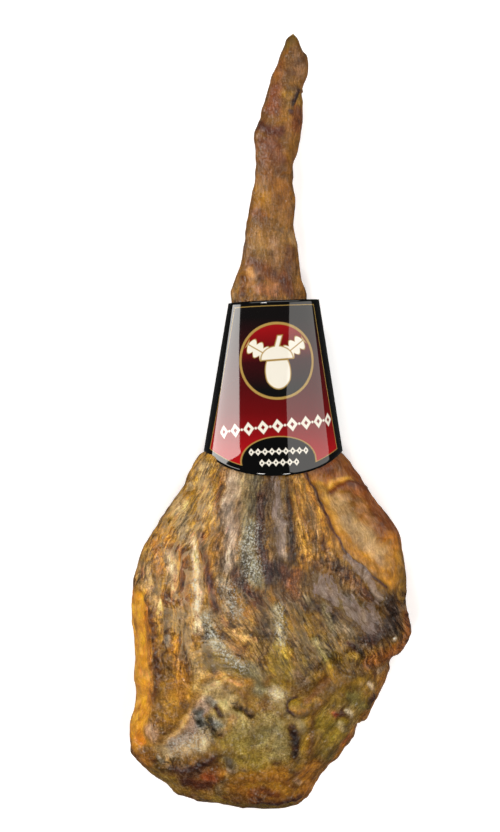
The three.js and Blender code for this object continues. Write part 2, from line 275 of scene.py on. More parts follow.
# The grid: more columns over the lean face than underneath, and rows close together where it shows.
LENGTH = DRAWN[1]
ROUND_END = 8.0  # the rows crowd together over this length at both ends
HIDDEN_FROM, HIDDEN_TO = SLEEVE_LOW + 3, SLEEVE_HIGH - 6
FOOT_ROWS, FACE_ROWS, HIDDEN_ROWS, SHANK_ROWS, TIP_ROWS = 12, 205, 12, 96, 8
FACE_COLUMNS, RIND_COLUMNS = 214, 76
rows_s = np.concatenate([
    ROUND_END * np.linspace(0, 1, FOOT_ROWS, endpoint=False) ** 2,
    np.linspace(ROUND_END, HIDDEN_FROM, FACE_ROWS, endpoint=False),
    np.linspace(HIDDEN_FROM, HIDDEN_TO, HIDDEN_ROWS, endpoint=False),
    np.linspace(HIDDEN_TO, LENGTH - ROUND_END, SHANK_ROWS, endpoint=False),
    LENGTH - ROUND_END * (1 - np.linspace(0, 1, TIP_ROWS)) ** 2,
])
columns = np.concatenate([
    np.linspace(0, math.pi, FACE_COLUMNS, endpoint=False),
    np.linspace(math.pi, 2 * math.pi, RIND_COLUMNS, endpoint=False),
])
S, ANGLE = np.meshgrid(rows_s, columns, indexing="ij")
X, Z = section(S, ANGLE)
plain = np.stack([X, S, Z], -1)


def outward(points):
    """The direction away from the ham at each point of its closed grid: the unit normal, which is the
    cross product of the steps round the grid and along it."""
    onward = np.gradient(points, axis=0)
    around = np.roll(points, -1, axis=1) - np.roll(points, 1, axis=1)
    normal = np.cross(around, onward)
    length = np.linalg.norm(normal, axis=-1, keepdims=True)
    return normal / np.maximum(length, 1e-9)


# Places on the face are shaken a little before anything is drawn at them, so that no edge is even.
face = smooth(np.sin(ANGLE), -0.25, 0.15)
XW = X + 1.6 * cloud(plain, 16, 1, 3)
SW = S + 3.5 * cloud(plain, 24, 2, 3)


def patches(places, power=2):
    """Soft patches added up, each given as strength, half width and path: the strength times e to the
    minus (distance from the path / half width) to a power."""
    total = np.zeros_like(S)
    for strength, half_width, path in places:
        total += strength * np.exp(-((distance(path, XW, SW) / half_width) ** power))
    return total


# Muscle fibres run down from the knee and fan out, and lower down they slant to the right. On the butt
# the strands run from the bottom up to the right instead.
SLANT, SLANT_BELOW = 0.55, 215.0
BUTT_WAY = (0.54, 0.84)  # which way the strands run on the butt, across and along it
STRAND_STRETCH = 0.085  # how much a strand's pattern is drawn out: its width over its length
slant = SLANT * np.maximum(0, SLANT_BELOW - SW) * smooth(XW, -75, -20)
inland = np.clip(S, 110, LENGTH)  # the fibres keep the width that they have there on the butt
reach_left, reach_right = -along(LEFT_EDGE, inland), along(RIGHT_EDGE, inland)
from_middle = XW - slant - 4
half_across = np.maximum(np.where(from_middle > 0, reach_right, reach_left), 70)
fibre_across = 100 * from_middle / half_across
on_butt = 1 - smooth(S, 108, 122)
fibre_across += on_butt * (BUTT_WAY[1] * XW - BUTT_WAY[0] * SW - fibre_across)
fibre_along = S + on_butt * (BUTT_WAY[0] * XW + BUTT_WAY[1] * SW - S)
fibre = np.stack([fibre_across, STRAND_STRETCH * fibre_along, np.zeros_like(S)], -1)

# The sleek places: the fat pad, whose inner edge slants, the roll of fat, the glazed meat and the shank.
pad_edge = np.interp(S, [200, 235, 255, 298, 327, 350], [112, 71, 57, 42, 30, 22])
on_pad = smooth(XW - pad_edge, 0, 7) * smooth(S, 196, 232) * (1 - smooth(S, 345, 352))
rim_line = [(-130, 206), (-128, 170), (-128, 130), (-129, 90), (-126, 66)]
on_rim = np.exp(-((distance(rim_line, X, S) / 9) ** 4))
glazed = patches([
    (1.0, 13, [(46, 222), (62, 208), (78, 196), (92, 184)]),
    (1.0, 5, [(70, 248), (86, 230), (100, 208)]),
    (0.6, 8, [(4, 322), (6, 285), (8, 250)]),
    (0.6, 6, [(-37, 322), (-42, 290), (-38, 265)]),
], power=4)
on_shank = 0.65 * smooth(S, 486, 500)
sleek = np.clip(np.maximum.reduce([on_pad, on_rim, 0.8 * glazed, on_shank]), 0, 1) * face
fibrous = face * smooth(S, 118, 150) * (1 - smooth(S, 470, 520) * 0.75)
fibrous += 0.5 * face * on_butt * smooth(XW, 0, 36) * smooth(S, 4, 20)
fibrous *= (1 - 0.85 * on_pad) * (1 - 0.9 * on_rim) * (1 - 0.8 * np.clip(glazed, 0, 1))

# What stands out of the face or sinks into it: height, half width and path, in millimetres.
RELIEF = [
    # The fat pad beside the knee, the crease along it, and the wrinkle at its head.
    (5.0, 22, [(60, 315), (85, 280), (108, 245)]),
    (-2.4, 11, [(38, 312), (50, 288), (66, 255), (85, 236), (105, 220)]),
    (-1.5, 1.3, [(33, 326), (38, 312), (44, 300), (50, 288), (58, 270), (66, 255), (76, 245), (85, 236),
                 (96, 226), (106, 219)]),
    (-2.0, 2.2, [(57, 306), (64, 312), (74, 315), (84, 313), (91, 309)]),
    (1.4, 4.0, [(56, 313), (66, 320), (80, 321)]),
    # The roll of fat round the left edge and the groove inside it.
    (3.5, 9, [(-128, 206), (-126, 180), (-124, 150), (-124, 120), (-126, 95), (-125, 72)]),
    (-1.9, 2.4, [(-119, 202), (-115, 183), (-111, 165), (-108, 148), (-109, 130), (-112, 112), (-114, 94)]),
    # Folds of the left muscle.
    (-2.4, 2.6, [(-67, 268), (-62, 245), (-57, 222), (-52, 197)]),
    (1.8, 4.0, [(-74, 268), (-72, 245), (-70, 215), (-71, 185)]),
    (-2.0, 3.0, [(-84, 250), (-84, 225), (-81, 200)]),
    (1.4, 4.0, [(-95, 245), (-92, 225), (-89, 205)]),
    (-1.6, 2.5, [(-103, 200), (-100, 180), (-96, 160)]),
    (-1.8, 2.2, [(-84, 185), (-80, 168), (-76, 150), (-78, 130)]),
    (-2.2, 2.2, [(-62, 172), (-58, 152), (-54, 138)]),
    # The sinew down the middle, with a groove on each side of it.
    (1.8, 6.5, [(-38, 322), (-41, 300), (-43, 285), (-38, 262), (-43, 235)]),
    (-2.2, 2.6, [(-48, 312), (-51, 295), (-48, 280)]),
    (1.5, 6.0, [(-17, 280), (-22, 255), (-20, 235)]),
    (-3.0, 4.0, [(-9, 300), (-11, 280), (-11, 262), (-8, 243), (-2, 225)]),
    (1.6, 8.0, [(4, 322), (6, 290), (9, 255)]),
    (-2.4, 3.4, [(17, 322), (17, 290), (19, 255), (15, 232)]),
    (1.5, 5.0, [(26, 318), (27, 290), (30, 255)]),
    (-1.6, 2.2, [(30, 300), (38, 272), (48, 255)]),
    # Hollows where the fibres end.
    (-3.0, 8.0, [(-35, 230), (-20, 212), (2, 222)]),
    (-2.6, 5.0, [(60, 242), (75, 228), (88, 212), (100, 197)]),
    (2.2, 8.0, [(46, 222), (66, 204), (92, 184)]),
    (-2.5, 7.0, [(110, 205), (114, 180)]),
    (-1.8, 4.0, [(20, 205), (40, 200), (62, 196)]),
    (2.5, 7.0, [(-15, 172), (8, 165), (30, 150)]),
    # The ridge where the lean face turns down to the butt.
    (3.0, 8.0, [(60, 145), (80, 150), (100, 152)]),
    (2.5, 9.0, [(-40, 136), (-15, 125), (5, 118)]),
    # The aitch bone, the lips of its sockets and the step under it.
    (4.5, 13, [(-100, 58), (-84, 68), (-70, 82), (-56, 104)]),
    (3.0, 9, [(-40, 108), (-28, 100)]),
    (1.8, 3.2, [(-100, 72), (-86, 88), (-73, 106), (-62, 121), (-46, 131), (-32, 127)]),
    (-4.0, 3.6, [(-70, 94), (-67, 88)]),
    (-4.0, 4.0, [(-57, 86), (-52, 80)]),
    (-3.0, 2.4, [(-54, 103), (-49, 95)]),
    (-3.4, 2.8, [(-34, 104), (-28, 104), (-22, 101)]),
    (-2.5, 3.2, [(-63, 112), (-60, 106)]),
    (-2.2, 4.5, [(-108, 44), (-92, 44), (-76, 47), (-64, 51), (-52, 57), (-40, 62)]),
    (-2.0, 7.0, [(-84, 40), (-62, 42)]),
    (-4.0, 4.0, [(-40, 52), (-38, 46)]),
    (-2.5, 5.0, [(-38, 40), (-46, 30), (-50, 20)]),
    # The tongue of dried meat, the crack round its end and the slot below it.
    (4.0, 7.0, [(22, 109), (36, 112), (50, 126), (58, 136)]),
    (-2.6, 1.6, [(23, 119), (17, 116), (13.5, 110), (15, 103), (21, 99.5)]),
    (-2.4, 3.5, [(22, 98), (36, 101), (50, 113), (62, 128)]),
    (-2.2, 4.4, [(20, 86), (20.5, 76), (22, 66), (21, 60)]),
    (-1.4, 3.0, [(44, 108), (39, 92), (37, 75), (36, 56)]),
    (1.4, 5.0, [(34, 96), (31, 78), (30, 62)]),
    # Tears along the right rim.
    (-4.0, 2.4, [(96, 114), (91, 104)]),
    (-3.0, 3.0, [(76, 164), (84, 159), (88, 152)]),
    (-2.5, 2.6, [(62, 97), (72, 94)]),
    (2.2, 5.0, [(105, 130), (97, 104), (88, 92)]),
    (2.5, 5.0, [(80, 74), (68, 56), (52, 38), (42, 22)]),
    (-2.0, 4.0, [(72, 78), (60, 62), (46, 50)]),
    (1.8, 1.9, [(117, 166)]),
    # The bottom of the butt.
    (-3.0, 3.0, [(-20, 14), (0, 12), (22, 12)]),
    (2.0, 6.0, [(-20, 25), (5, 28)]),
    # The shank: the slit at the hock, the notch beside it, and the folds above the sleeve.
    (-4.5, 2.6, [(22, 689), (20, 680)]),
    (-2.5, 2.0, [(18, 672)]),
    (-2.5, 2.4, [(30, 692), (22, 694), (14, 690)]),
    (2.0, 4.0, [(27, 680), (25, 668)]),
    (-1.8, 3.5, [(-8, 660), (0, 653), (8, 656)]),
    (1.8, 6.0, [(-4, 640), (6, 634)]),
    (-1.5, 5.0, [(-6, 618), (8, 616)]),
    (-1.5, 3.0, [(8, 712), (20, 706)]),
    (2.0, 5.0, [(20, 724)]),
    (-1.6, 5.0, [(6, 590), (4, 560)]),
    (1.5, 4.0, [(2, 545), (6, 515)]),
    (-1.2, 3.0, [(-28, 514), (-27, 496)]),
    (2.2, 4.5, [(-21, 518), (-19, 500)]),
    (2.4, 5.0, [(-6, 512), (2, 508)]),
    (-2.4, 3.0, [(-12, 512), (-8, 498)]),
    (-2.2, 3.0, [(10, 512), (12, 498)]),
    (1.6, 5.0, [(21, 512), (24, 498)]),
]
relief = patches(RELIEF)

# Finer than those are lumps, strands along the fibres, torn places and folds, each a cloud of its own.
lumps = 1.3 * cloud(plain, 26, 3, 2) + 0.7 * cloud(plain, 9, 4, 2)
strands = 0.6 * cloud(fibre, 7.0, 5, 3) + 1.1 * (np.abs(cloud(fibre, 9.0, 11, 2)) - 0.4)
torn = cloud(plain, 6.5, 6, 2)
folds = np.abs(cloud(plain, 13, 12, 2)) - 0.4
relief = relief * face + lumps * (0.35 + 0.65 * face)
relief += fibrous * (1.7 * strands + 0.5 * torn) * (1 - 0.5 * sleek)
relief += face * (1 - fibrous) * (0.8 * torn + 0.8 * folds) * (1 - 0.85 * sleek)

# It lies smooth under the sleeve, and closes to a point at both ends.
sleeve_foot = SLEEVE_LOW - SLEEVE_DIP * np.clip(np.sin(ANGLE), 0, 1) ** 2
by_its_dip = smooth(S, SLEEVE_LOW - 28, SLEEVE_LOW - 16) * smooth(S, sleeve_foot - 12, sleeve_foot - 2)
under_sleeve = np.maximum(by_its_dip, smooth(S, SLEEVE_LOW - 1, SLEEVE_LOW + 3))
under_sleeve *= 1 - smooth(S, SLEEVE_HIGH - 2, SLEEVE_HIGH + 8)
relief *= (1 - under_sleeve) * smooth(S, 0, 6) * (1 - smooth(S, LENGTH - ROUND_END, LENGTH))

solid = plain + outward(plain) * relief[..., None]
solid[..., 2] = np.maximum(solid[..., 2], 0)  # the rind is pressed flat where the ham lies


def set_in_frame(points):
    """Millimetres of the drawing to metres of the frame."""
    scale = np.array(ham_span) / DRAWN
    corner = np.array([DRAWN_MIDDLE - DRAWN[0] / 2, 0.0, 0.0])
    return (points - corner) * scale + np.array(ham_low)


# The first and last rows of the grid are one point each, so a fan of triangles closes each end.
inner = set_in_frame(solid[1:-1])
ends = set_in_frame(solid[[0, -1], 0])
index = np.arange(inner[..., 0].size).reshape(inner.shape[:2])
beside = np.roll(index, -1, axis=1)
quads = np.stack([index[:-1], index[1:], beside[1:], beside[:-1]], -1).reshape(-1, 4)
foot_fan = np.stack([np.full_like(index[0], index.size), index[0], beside[0]], -1)
tip_fan = np.stack([np.full_like(index[-1], index.size + 1), beside[-1], index[-1]], -1)
fans = np.concatenate([foot_fan, tip_fan])
ham_mesh = bpy.data.meshes.new("ham_meat")
ham_mesh.from_pydata(np.concatenate([inner.reshape(-1, 3), ends]), [], quads.tolist() + fans.tolist())
ham_mesh.shade_smooth()
ham_mesh.validate()
ham = bpy.data.objects.new("ham_meat", ham_mesh)
bpy.context.scene.collection.objects.link(ham)
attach(ham, "root")
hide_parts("ham")


def linear(colour):
    """A colour written as six hex digits, as the red, green and blue that light adds up in: c / 12.92
    for the darkest values c, and ((c + 0.055) / 1.055) to the power 2.4 above them."""
    value = np.array([int(colour[i : i + 2], 16) for i in (0, 2, 4)]) / 255
    return np.where(value <= 0.04045, value / 12.92, ((value + 0.055) / 1.055) ** 2.4)


# The colours of the face, laid over each other in this order: colour, strength, half width and path.
# The dark strokes that follow the grooves, cracks, slits and holes of the relief are painted shade in them.
COLOURS = [
    # The ground of each region.
    ("a0713a", 1.0, 400, [(0, 300)]),
    ("bb9054", 0.9, 34, [(-62, 335), (-80, 290), (-105, 250)]),
    ("b78a4c", 0.8, 40, [(-90, 230), (-85, 180), (-85, 140)]),
    ("a47a46", 0.8, 30, [(-95, 165), (-95, 110)]),
    ("94724a", 0.9, 26, [(0, 325), (0, 240)]),
    ("8a6e4c", 0.8, 34, [(40, 205), (95, 185)]),
    ("96743c", 0.9, 34, [(10, 175), (50, 150)]),
    ("987c50", 0.9, 40, [(-30, 70), (20, 80), (60, 95)]),
    ("a87e4c", 0.9, 20, [(22, 315), (26, 285), (34, 250)]),
    ("9a7144", 1.0, 60, [(0, 520), (5, 600), (15, 700)]),
    # Left flank, from the sleeve down.
    ("b98c3c", 0.9, 7, [(-55, 338), (-52, 322), (-50, 305)]),
    ("a26418", 0.8, 3.5, [(-46, 326), (-49, 305), (-53, 290)]),
    ("cdb081", 0.7, 5, [(-66, 330), (-68, 312), (-74, 300)]),
    ("b7893e", 0.8, 6, [(-75, 322), (-82, 300), (-92, 285)]),
    ("d6ae66", 0.7, 5, [(-62, 312), (-63, 295), (-64, 280)]),
    ("c29248", 0.8, 6, [(-72, 300), (-70, 280), (-66, 262)]),
    ("bd9a6e", 0.7, 4, [(-68, 282), (-67, 270)]),
    ("c4a878", 0.8, 7, [(-88, 292), (-86, 276), (-85, 262)]),
    ("c08a3c", 0.8, 8, [(-105, 268), (-98, 270), (-95, 258)]),
    ("b9792c", 0.7, 5, [(-112, 258), (-106, 248), (-108, 232)]),
    ("d2b07c", 0.7, 7, [(-122, 232), (-118, 215), (-112, 195)]),
    ("a9651f", 0.9, 3, [(-98, 253), (-88, 256)]),
    ("d6bd94", 0.9, 4.5, [(-97, 248), (-94, 230), (-91, 212)]),
    ("a66c1e", 0.9, 7, [(-83, 248), (-84, 228), (-82, 205)]),
    ("9c5f3a", 0.8, 7, [(-98, 206)]),
    ("c6a070", 0.8, 5, [(-88, 195), (-84, 188)]),
    ("dcc29c", 0.95, 3.6, [(-75, 264), (-72, 246), (-71, 228), (-70, 205), (-71, 178)]),
    # Painted shade along the fold: this stroke and the next.
    ("8c5526", 0.9, 4, [(-67, 266), (-62, 244), (-57, 220), (-53, 196)]),
    ("6e4122", 0.8, 1.8, [(-60, 248), (-57, 228), (-55, 208), (-49, 192)]),
    ("a87840", 0.7, 6, [(-55, 275), (-52, 255), (-54, 240)]),
    ("b48648", 0.6, 5, [(-102, 190), (-100, 170)]),
    ("8a6a58", 0.8, 4, [(-101, 180), (-99, 168), (-96, 160)]),
    ("c9c2b4", 0.8, 2, [(-99, 172), (-98, 165)]),
    ("a27844", 0.7, 8, [(-104, 150), (-96, 128), (-90, 110)]),
    ("b8803c", 0.8, 8, [(-88, 165), (-82, 140), (-86, 118)]),
    ("c9a468", 0.7, 4, [(-76, 160), (-70, 140), (-72, 122)]),
    # Painted shade in a fold.
    ("6f4a20", 0.7, 1.8, [(-62, 172), (-59, 155), (-55, 138)]),
    ("906c38", 0.7, 5, [(-112, 132), (-110, 112), (-106, 98)]),
    ("b98a3a", 0.7, 5, [(-98, 100), (-93, 110)]),
    # The roll of fat round the left edge, and painted shade in the groove inside it.
    ("d9962c", 0.95, 9, [(-131, 206), (-128, 180), (-126, 150), (-127, 120), (-128, 95), (-128, 68)]),
    ("dba24a", 0.7, 4, [(-132, 196), (-131, 165), (-132, 130), (-134, 90)]),
    ("c67f22", 0.7, 3.5, [(-120, 196), (-117, 165), (-116, 135), (-118, 105)]),
    ("e2b466", 0.6, 5, [(-124, 134), (-122, 130)]),
    ("94611e", 0.65, 2.0, [(-119, 202), (-115, 184), (-110, 164), (-107, 148), (-109, 128), (-113, 108)]),
    ("74543a", 0.6, 3, [(-108, 150), (-107, 130)]),
    ("c79c7c", 0.9, 7, [(-116, 80), (-108, 74)]),
    ("e4c8b0", 0.5, 2, [(-114, 83), (-112, 72)]),
    ("8e6636", 0.8, 6, [(-122, 58), (-112, 62), (-100, 78)]),
    # The sinew and the grey and mauve bands down the middle.
    ("b29a84", 0.95, 7, [(-36, 322), (-40, 302), (-44, 290), (-39, 272), (-38, 255), (-43, 238)]),
    ("a08c7c", 0.8, 3, [(-46, 296), (-43, 286)]),
    ("a8926e", 0.9, 6, [(-24, 324), (-27, 305), (-28, 288), (-25, 278)]),
    ("c0a084", 0.6, 1.8, [(-33, 312), (-32, 292), (-34, 272)]),
    ("7d7460", 0.85, 5, [(-14, 322), (-14, 308), (-19, 290)]),
    ("8d8670", 0.9, 8, [(-18, 274), (-22, 256), (-22, 240), (-15, 228)]),
    # Painted shade in a groove beside the sinew.
    ("604222", 0.9, 4.6, [(-9, 306), (-11, 284), (-12, 264), (-9, 246), (-3, 228)]),
    ("6a5240", 0.95, 8, [(1, 324), (3, 304), (6, 282), (8, 262), (8, 246)]),
    ("a08a7a", 0.7, 4.5, [(5, 302), (8, 276), (10, 256), (10, 244)]),
    # Painted shade in a groove.
    ("5c4628", 0.8, 3.4, [(16, 300), (15, 282), (17, 262), (16, 246)]),
    ("5a4020", 0.85, 7, [(-2, 232), (8, 236), (14, 226)]),
    # Fibres between the middle and the fat pad.
    ("c4955e", 0.8, 4, [(24, 322), (24, 302), (27, 280)]),
    ("7a4e1c", 0.7, 1.8, [(22, 316), (25, 298), (30, 282), (38, 262)]),
    ("b48242", 0.8, 5, [(32, 272), (33, 256), (31, 240)]),
    ("cca276", 0.7, 3, [(34, 305), (38, 285), (44, 268)]),
    ("8e5c22", 0.7, 2.4, [(46, 300), (50, 286), (48, 270), (50, 254)]),
    ("c89452", 0.7, 4, [(52, 276), (58, 262), (60, 250)]),
    ("a8763a", 0.7, 5, [(62, 246), (70, 238)]),
    ("dcb27c", 0.7, 2.4, [(56, 250), (58, 240)]),
    ("77521e", 0.8, 6, [(58, 240), (68, 236), (80, 222), (92, 206)]),
    ("806648", 0.95, 5, [(68, 249), (79, 238), (89, 226), (98, 213), (104, 200)]),
    ("9c6448", 0.8, 5, [(24, 234), (18, 222), (22, 214)]),
    ("8a5c24", 0.8, 4, [(40, 240), (46, 230)]),
    # The glazed patch and the dark meat by the right edge.
    ("6e5428", 0.9, 13, [(44, 222), (58, 210), (74, 197), (92, 184)]),
    ("7a6440", 0.6, 8, [(66, 204), (84, 190)]),
    ("8c7054", 0.7, 3, [(56, 214), (66, 208)]),
    ("5f4620", 0.8, 2.5, [(36, 208), (46, 199), (60, 192)]),
    ("908266", 0.9, 3, [(49, 202), (54, 188), (59, 174)]),
    ("64501e", 0.85, 6, [(106, 218), (110, 205), (112, 190)]),
    ("54461a", 0.92, 9, [(113, 208), (114, 192), (112, 176)]),
    ("54402c", 0.85, 7, [(98, 178), (94, 168)]),
    ("a5692a", 0.9, 3.5, [(129, 192), (130, 176), (128, 160), (120, 152)]),
    ("8a6a34", 0.8, 4, [(126, 240), (127, 220), (127, 205)]),
    # The fat pad, with painted shade in its crease and its wrinkle, and a painted highlight above the
    # wrinkle.
    ("a97c44", 1.0, 24, [(62, 310), (84, 275), (108, 245)]),
    ("94561e", 0.95, 14, [(52, 334), (66, 326), (80, 318)]),
    ("9a6a4c", 0.7, 5, [(62, 330), (70, 322)]),
    ("a2663a", 0.7, 6, [(44, 322), (50, 316)]),
    ("96581e", 0.95, 17, [(86, 312), (100, 290), (116, 270)]),
    ("b9845a", 0.8, 3.5, [(84, 300), (92, 290), (97, 278)]),
    ("c49a72", 0.6, 2.5, [(76, 304), (66, 305)]),
    ("cf9a4c", 0.95, 4.5, [(45, 312), (53, 300), (58, 286), (64, 272)]),
    ("c09a6a", 0.9, 9, [(68, 296), (76, 278), (90, 260), (106, 244)]),
    ("bd9a68", 0.6, 4, [(78, 290), (88, 272), (98, 262)]),
    ("cfa678", 0.6, 5, [(92, 252), (104, 242)]),
    ("c98a3a", 0.9, 5, [(66, 270), (76, 256), (90, 244), (104, 232), (113, 224)]),
    ("c8801e", 0.85, 5, [(112, 264), (118, 262), (120, 254)]),
    ("c08434", 0.8, 6, [(116, 244), (114, 230)]),
    # Painted shade in the wrinkle at the pad's head, then a painted highlight on the fold above it.
    ("9a5a1c", 0.9, 2.2, [(57, 307), (64, 312), (74, 315), (84, 313), (92, 308)]),
    ("c8924e", 0.7, 2.4, [(58, 314), (66, 320), (78, 320)]),
    ("a86a24", 0.6, 4, [(34, 326), (40, 312), (50, 290), (60, 264)]),
    ("c48e50", 0.75, 4, [(34, 314), (42, 294), (52, 268), (62, 250)]),
    # Painted shade down the crease.
    ("54330f", 0.88, 1.1, [(33, 326), (38, 312), (44, 300), (50, 288), (58, 270), (66, 255), (76, 245),
                           (85, 236), (96, 226), (106, 219)]),
    # The middle of the face, where the fibres come apart.
    ("a08c74", 0.85, 7, [(-46, 222), (-42, 208), (-34, 195)]),
    ("6e4a1e", 0.9, 6, [(-36, 234), (-22, 216), (-14, 205)]),
    ("c49c66", 0.85, 8, [(-44, 184), (-30, 180), (-18, 174)]),
    ("aaa086", 0.9, 5.5, [(-62, 190), (-57, 174), (-54, 163), (-44, 154), (-34, 147), (-24, 140)]),
    ("a38438", 0.9, 8, [(-52, 148), (-42, 142), (-32, 138)]),
    ("c08a4c", 0.8, 5, [(-50, 134), (-38, 132), (-22, 130)]),
    ("70543e", 0.85, 6, [(-10, 188), (-4, 176), (0, 166)]),
    ("c3b48c", 0.85, 4, [(3, 200), (6, 182), (9, 166)]),
    ("b0924c", 0.85, 9, [(2, 158), (8, 142), (8, 126)]),
    ("bd9c48", 0.7, 5, [(14, 160), (14, 140)]),
    ("d2be96", 0.85, 5, [(2, 122), (6, 116), (10, 120)]),
    ("7a6434", 0.8, 7, [(26, 172), (28, 155), (32, 142)]),
    ("a09468", 0.8, 5, [(44, 168), (52, 152)]),
    ("a88a70", 0.7, 5, [(24, 140), (30, 132)]),
    ("b48c54", 0.7, 4, [(-22, 160), (-20, 145)]),
    ("8c8468", 0.8, 6, [(-22, 148), (-14, 138), (-12, 122)]),
    # A painted highlight: a pale dab standing for wet glints.
    ("c2b496", 0.7, 3, [(30, 212), (36, 204)]),
    ("6a5030", 0.7, 8, [(30, 205), (10, 212)]),
    # Painted shade in a tear.
    ("4e3828", 0.85, 3.2, [(72, 166), (80, 161), (84, 156)]),
    ("54402c", 0.8, 3.5, [(84, 168), (92, 170)]),
    ("a8927a", 0.7, 4, [(64, 182), (74, 174)]),
    # The right end of the ridge.
    ("b8925a", 0.9, 4, [(42, 130), (58, 142), (74, 151), (84, 150)]),
    ("86692e", 0.9, 12, [(68, 140), (82, 136)]),
    ("a2682c", 0.9, 6, [(92, 146), (106, 150), (118, 154)]),
    ("cdb096", 0.8, 2.6, [(102, 138), (108, 138)]),
    ("a8742c", 0.9, 6, [(112, 134), (104, 116), (96, 100), (90, 90)]),
    ("c49c5c", 0.7, 5, [(84, 128), (94, 124)]),
    ("e6d8c0", 0.8, 2, [(92, 127), (96, 123)]),
    # Painted shade in a tear.
    ("4c3418", 0.8, 1.8, [(97, 116), (91, 104)]),
    ("8f8458", 0.8, 6, [(84, 104), (78, 112)]),
    # The aitch bone.
    ("c89a60", 0.9, 3.4, [(-102, 70), (-87, 87), (-74, 105), (-62, 121), (-46, 132), (-30, 128)]),
    ("bea27c", 0.95, 10, [(-100, 60), (-84, 67), (-70, 76)]),
    ("a09088", 0.7, 5, [(-96, 68), (-80, 78)]),
    ("bfa08a", 0.95, 6, [(-78, 82), (-70, 96), (-64, 108)]),
    ("c2a878", 0.9, 9, [(-58, 122), (-46, 116), (-40, 104)]),
    ("b49a6c", 0.85, 8, [(-50, 92), (-38, 96), (-28, 94)]),
    ("d8c49c", 0.6, 4, [(-62, 70), (-68, 66)]),
    ("a8a69c", 0.8, 3.4, [(-61, 112), (-57, 106)]),
    ("8c9494", 0.9, 5, [(-68, 96), (-68, 88)]),
    # Painted shade in a socket of the bone.
    ("40423a", 0.85, 2.6, [(-69, 91)]),
    ("98a2a0", 0.9, 5, [(-56, 86), (-50, 84)]),
    # Painted shade in the sockets and hollows of the bone: this stroke and the next three.
    ("40443c", 0.85, 2.8, [(-56, 82), (-53, 79)]),
    ("5e4218", 0.9, 2.6, [(-54, 103), (-49, 95)]),
    ("6c5018", 0.8, 3, [(-61, 90), (-58, 84)]),
    ("5c4824", 0.8, 2.6, [(-34, 104), (-29, 104), (-22, 101)]),
    ("c89060", 0.8, 3, [(-50, 78), (-42, 84), (-38, 94)]),
    ("d2c6b4", 0.7, 2.4, [(-110, 54), (-107, 50)]),
    ("5a5056", 0.8, 3, [(-112, 45), (-108, 43)]),
    ("c4955e", 0.9, 3.2, [(-100, 52), (-86, 52), (-74, 54)]),
    # The butt under the bone.
    ("765640", 0.95, 12, [(-92, 42), (-76, 44), (-58, 48)]),
    # Painted shadow under the step of the bone.
    ("58390f", 0.7, 1.6, [(-100, 46), (-88, 46), (-76, 49), (-64, 53), (-54, 57)]),
    ("9a7a40", 0.9, 9, [(-112, 38), (-98, 28), (-86, 18)]),
    ("a8742e", 0.8, 5, [(-124, 48), (-118, 44)]),
    ("a85a18", 0.85, 5, [(-61, 36), (-55, 37)]),
    ("b87840", 0.7, 4, [(-48, 41), (-44, 43)]),
    ("6a461a", 0.9, 6, [(-80, 30), (-66, 26), (-56, 28)]),
    ("7c7468", 0.85, 4.5, [(-41, 56), (-39, 50)]),
    ("e0d0bc", 0.7, 1.8, [(-41, 46), (-37, 45)]),
    ("a89478", 0.8, 3.5, [(-40, 40), (-46, 32), (-50, 24)]),
    ("a28a52", 0.9, 13, [(-38, 76), (-20, 62), (-10, 50)]),
    ("9c8a5c", 0.8, 10, [(-28, 82), (-8, 74)]),
    ("ab9868", 0.85, 10, [(-4, 96), (4, 78), (6, 60)]),
    ("b0a074", 0.6, 5, [(2, 84), (6, 70)]),
    ("b07c34", 0.9, 8, [(-38, 32), (-16, 36), (10, 40)]),
    ("a8926c", 0.9, 5, [(12, 112), (24, 92), (30, 84)]),
    ("a06c2a", 0.85, 8, [(-26, 22), (-6, 24), (14, 26)]),
    ("6e4218", 0.6, 3, [(-20, 19), (-8, 24), (6, 19)]),
    ("a87c30", 0.6, 3, [(-24, 28), (-2, 30), (16, 22)]),
    ("806a34", 0.8, 4, [(-66, 10), (-34, 8), (0, 4), (20, 4)]),
    # Painted shade in the groove at the bottom of the butt.
    ("4c3610", 0.7, 1.6, [(-14, 12), (4, 11), (22, 12)]),
    ("a8844c", 0.8, 4, [(-68, 17), (-54, 16)]),
    # The tongue, the slot and the strands beside them.
    ("92703c", 0.9, 6.5, [(22, 110), (36, 112), (50, 126), (58, 135)]),
    ("80583a", 0.75, 4, [(34, 112), (44, 120), (52, 130)]),
    ("96782a", 0.9, 4, [(19, 111), (24, 111)]),
    ("b88434", 0.7, 1.8, [(17, 104), (24, 101), (34, 104)]),
    # Painted shade in the crack round the tongue's end and in the slot below it: this stroke and the next
    # two.
    ("4a2c10", 0.85, 1.2, [(23, 119), (17, 116.5), (13.5, 110), (15, 104), (20, 100)]),
    ("64482c", 0.85, 4.8, [(19, 86), (20.5, 76), (22, 66), (21, 60)]),
    ("4a3420", 0.5, 2.4, [(19, 80), (22, 72), (21, 64)]),
    ("a8803c", 0.85, 4, [(44, 110), (38, 94), (34, 76), (32, 58)]),
    ("80582a", 0.6, 2, [(41, 98), (37, 78), (36, 60)]),
    ("b0480e", 0.9, 3.4, [(60, 96), (64, 93)]),
    ("d4c8ae", 0.7, 2.2, [(70, 99), (74, 95)]),
    ("5e4420", 0.9, 3, [(67, 100), (64, 90)]),
    ("a08846", 0.8, 8, [(50, 88), (56, 72), (66, 82)]),
    ("cdb890", 0.6, 3, [(64, 84), (68, 80)]),
    ("b07820", 0.9, 4.5, [(82, 78), (72, 62), (60, 47), (48, 34), (40, 20)]),
    ("a85c1e", 0.7, 2.4, [(76, 70), (68, 62)]),
    ("84724c", 0.8, 5, [(44, 56), (54, 56)]),
    ("b87c34", 0.8, 7, [(38, 46), (30, 36), (34, 22)]),
    ("c8a080", 0.8, 3.5, [(23, 31), (27, 28)]),
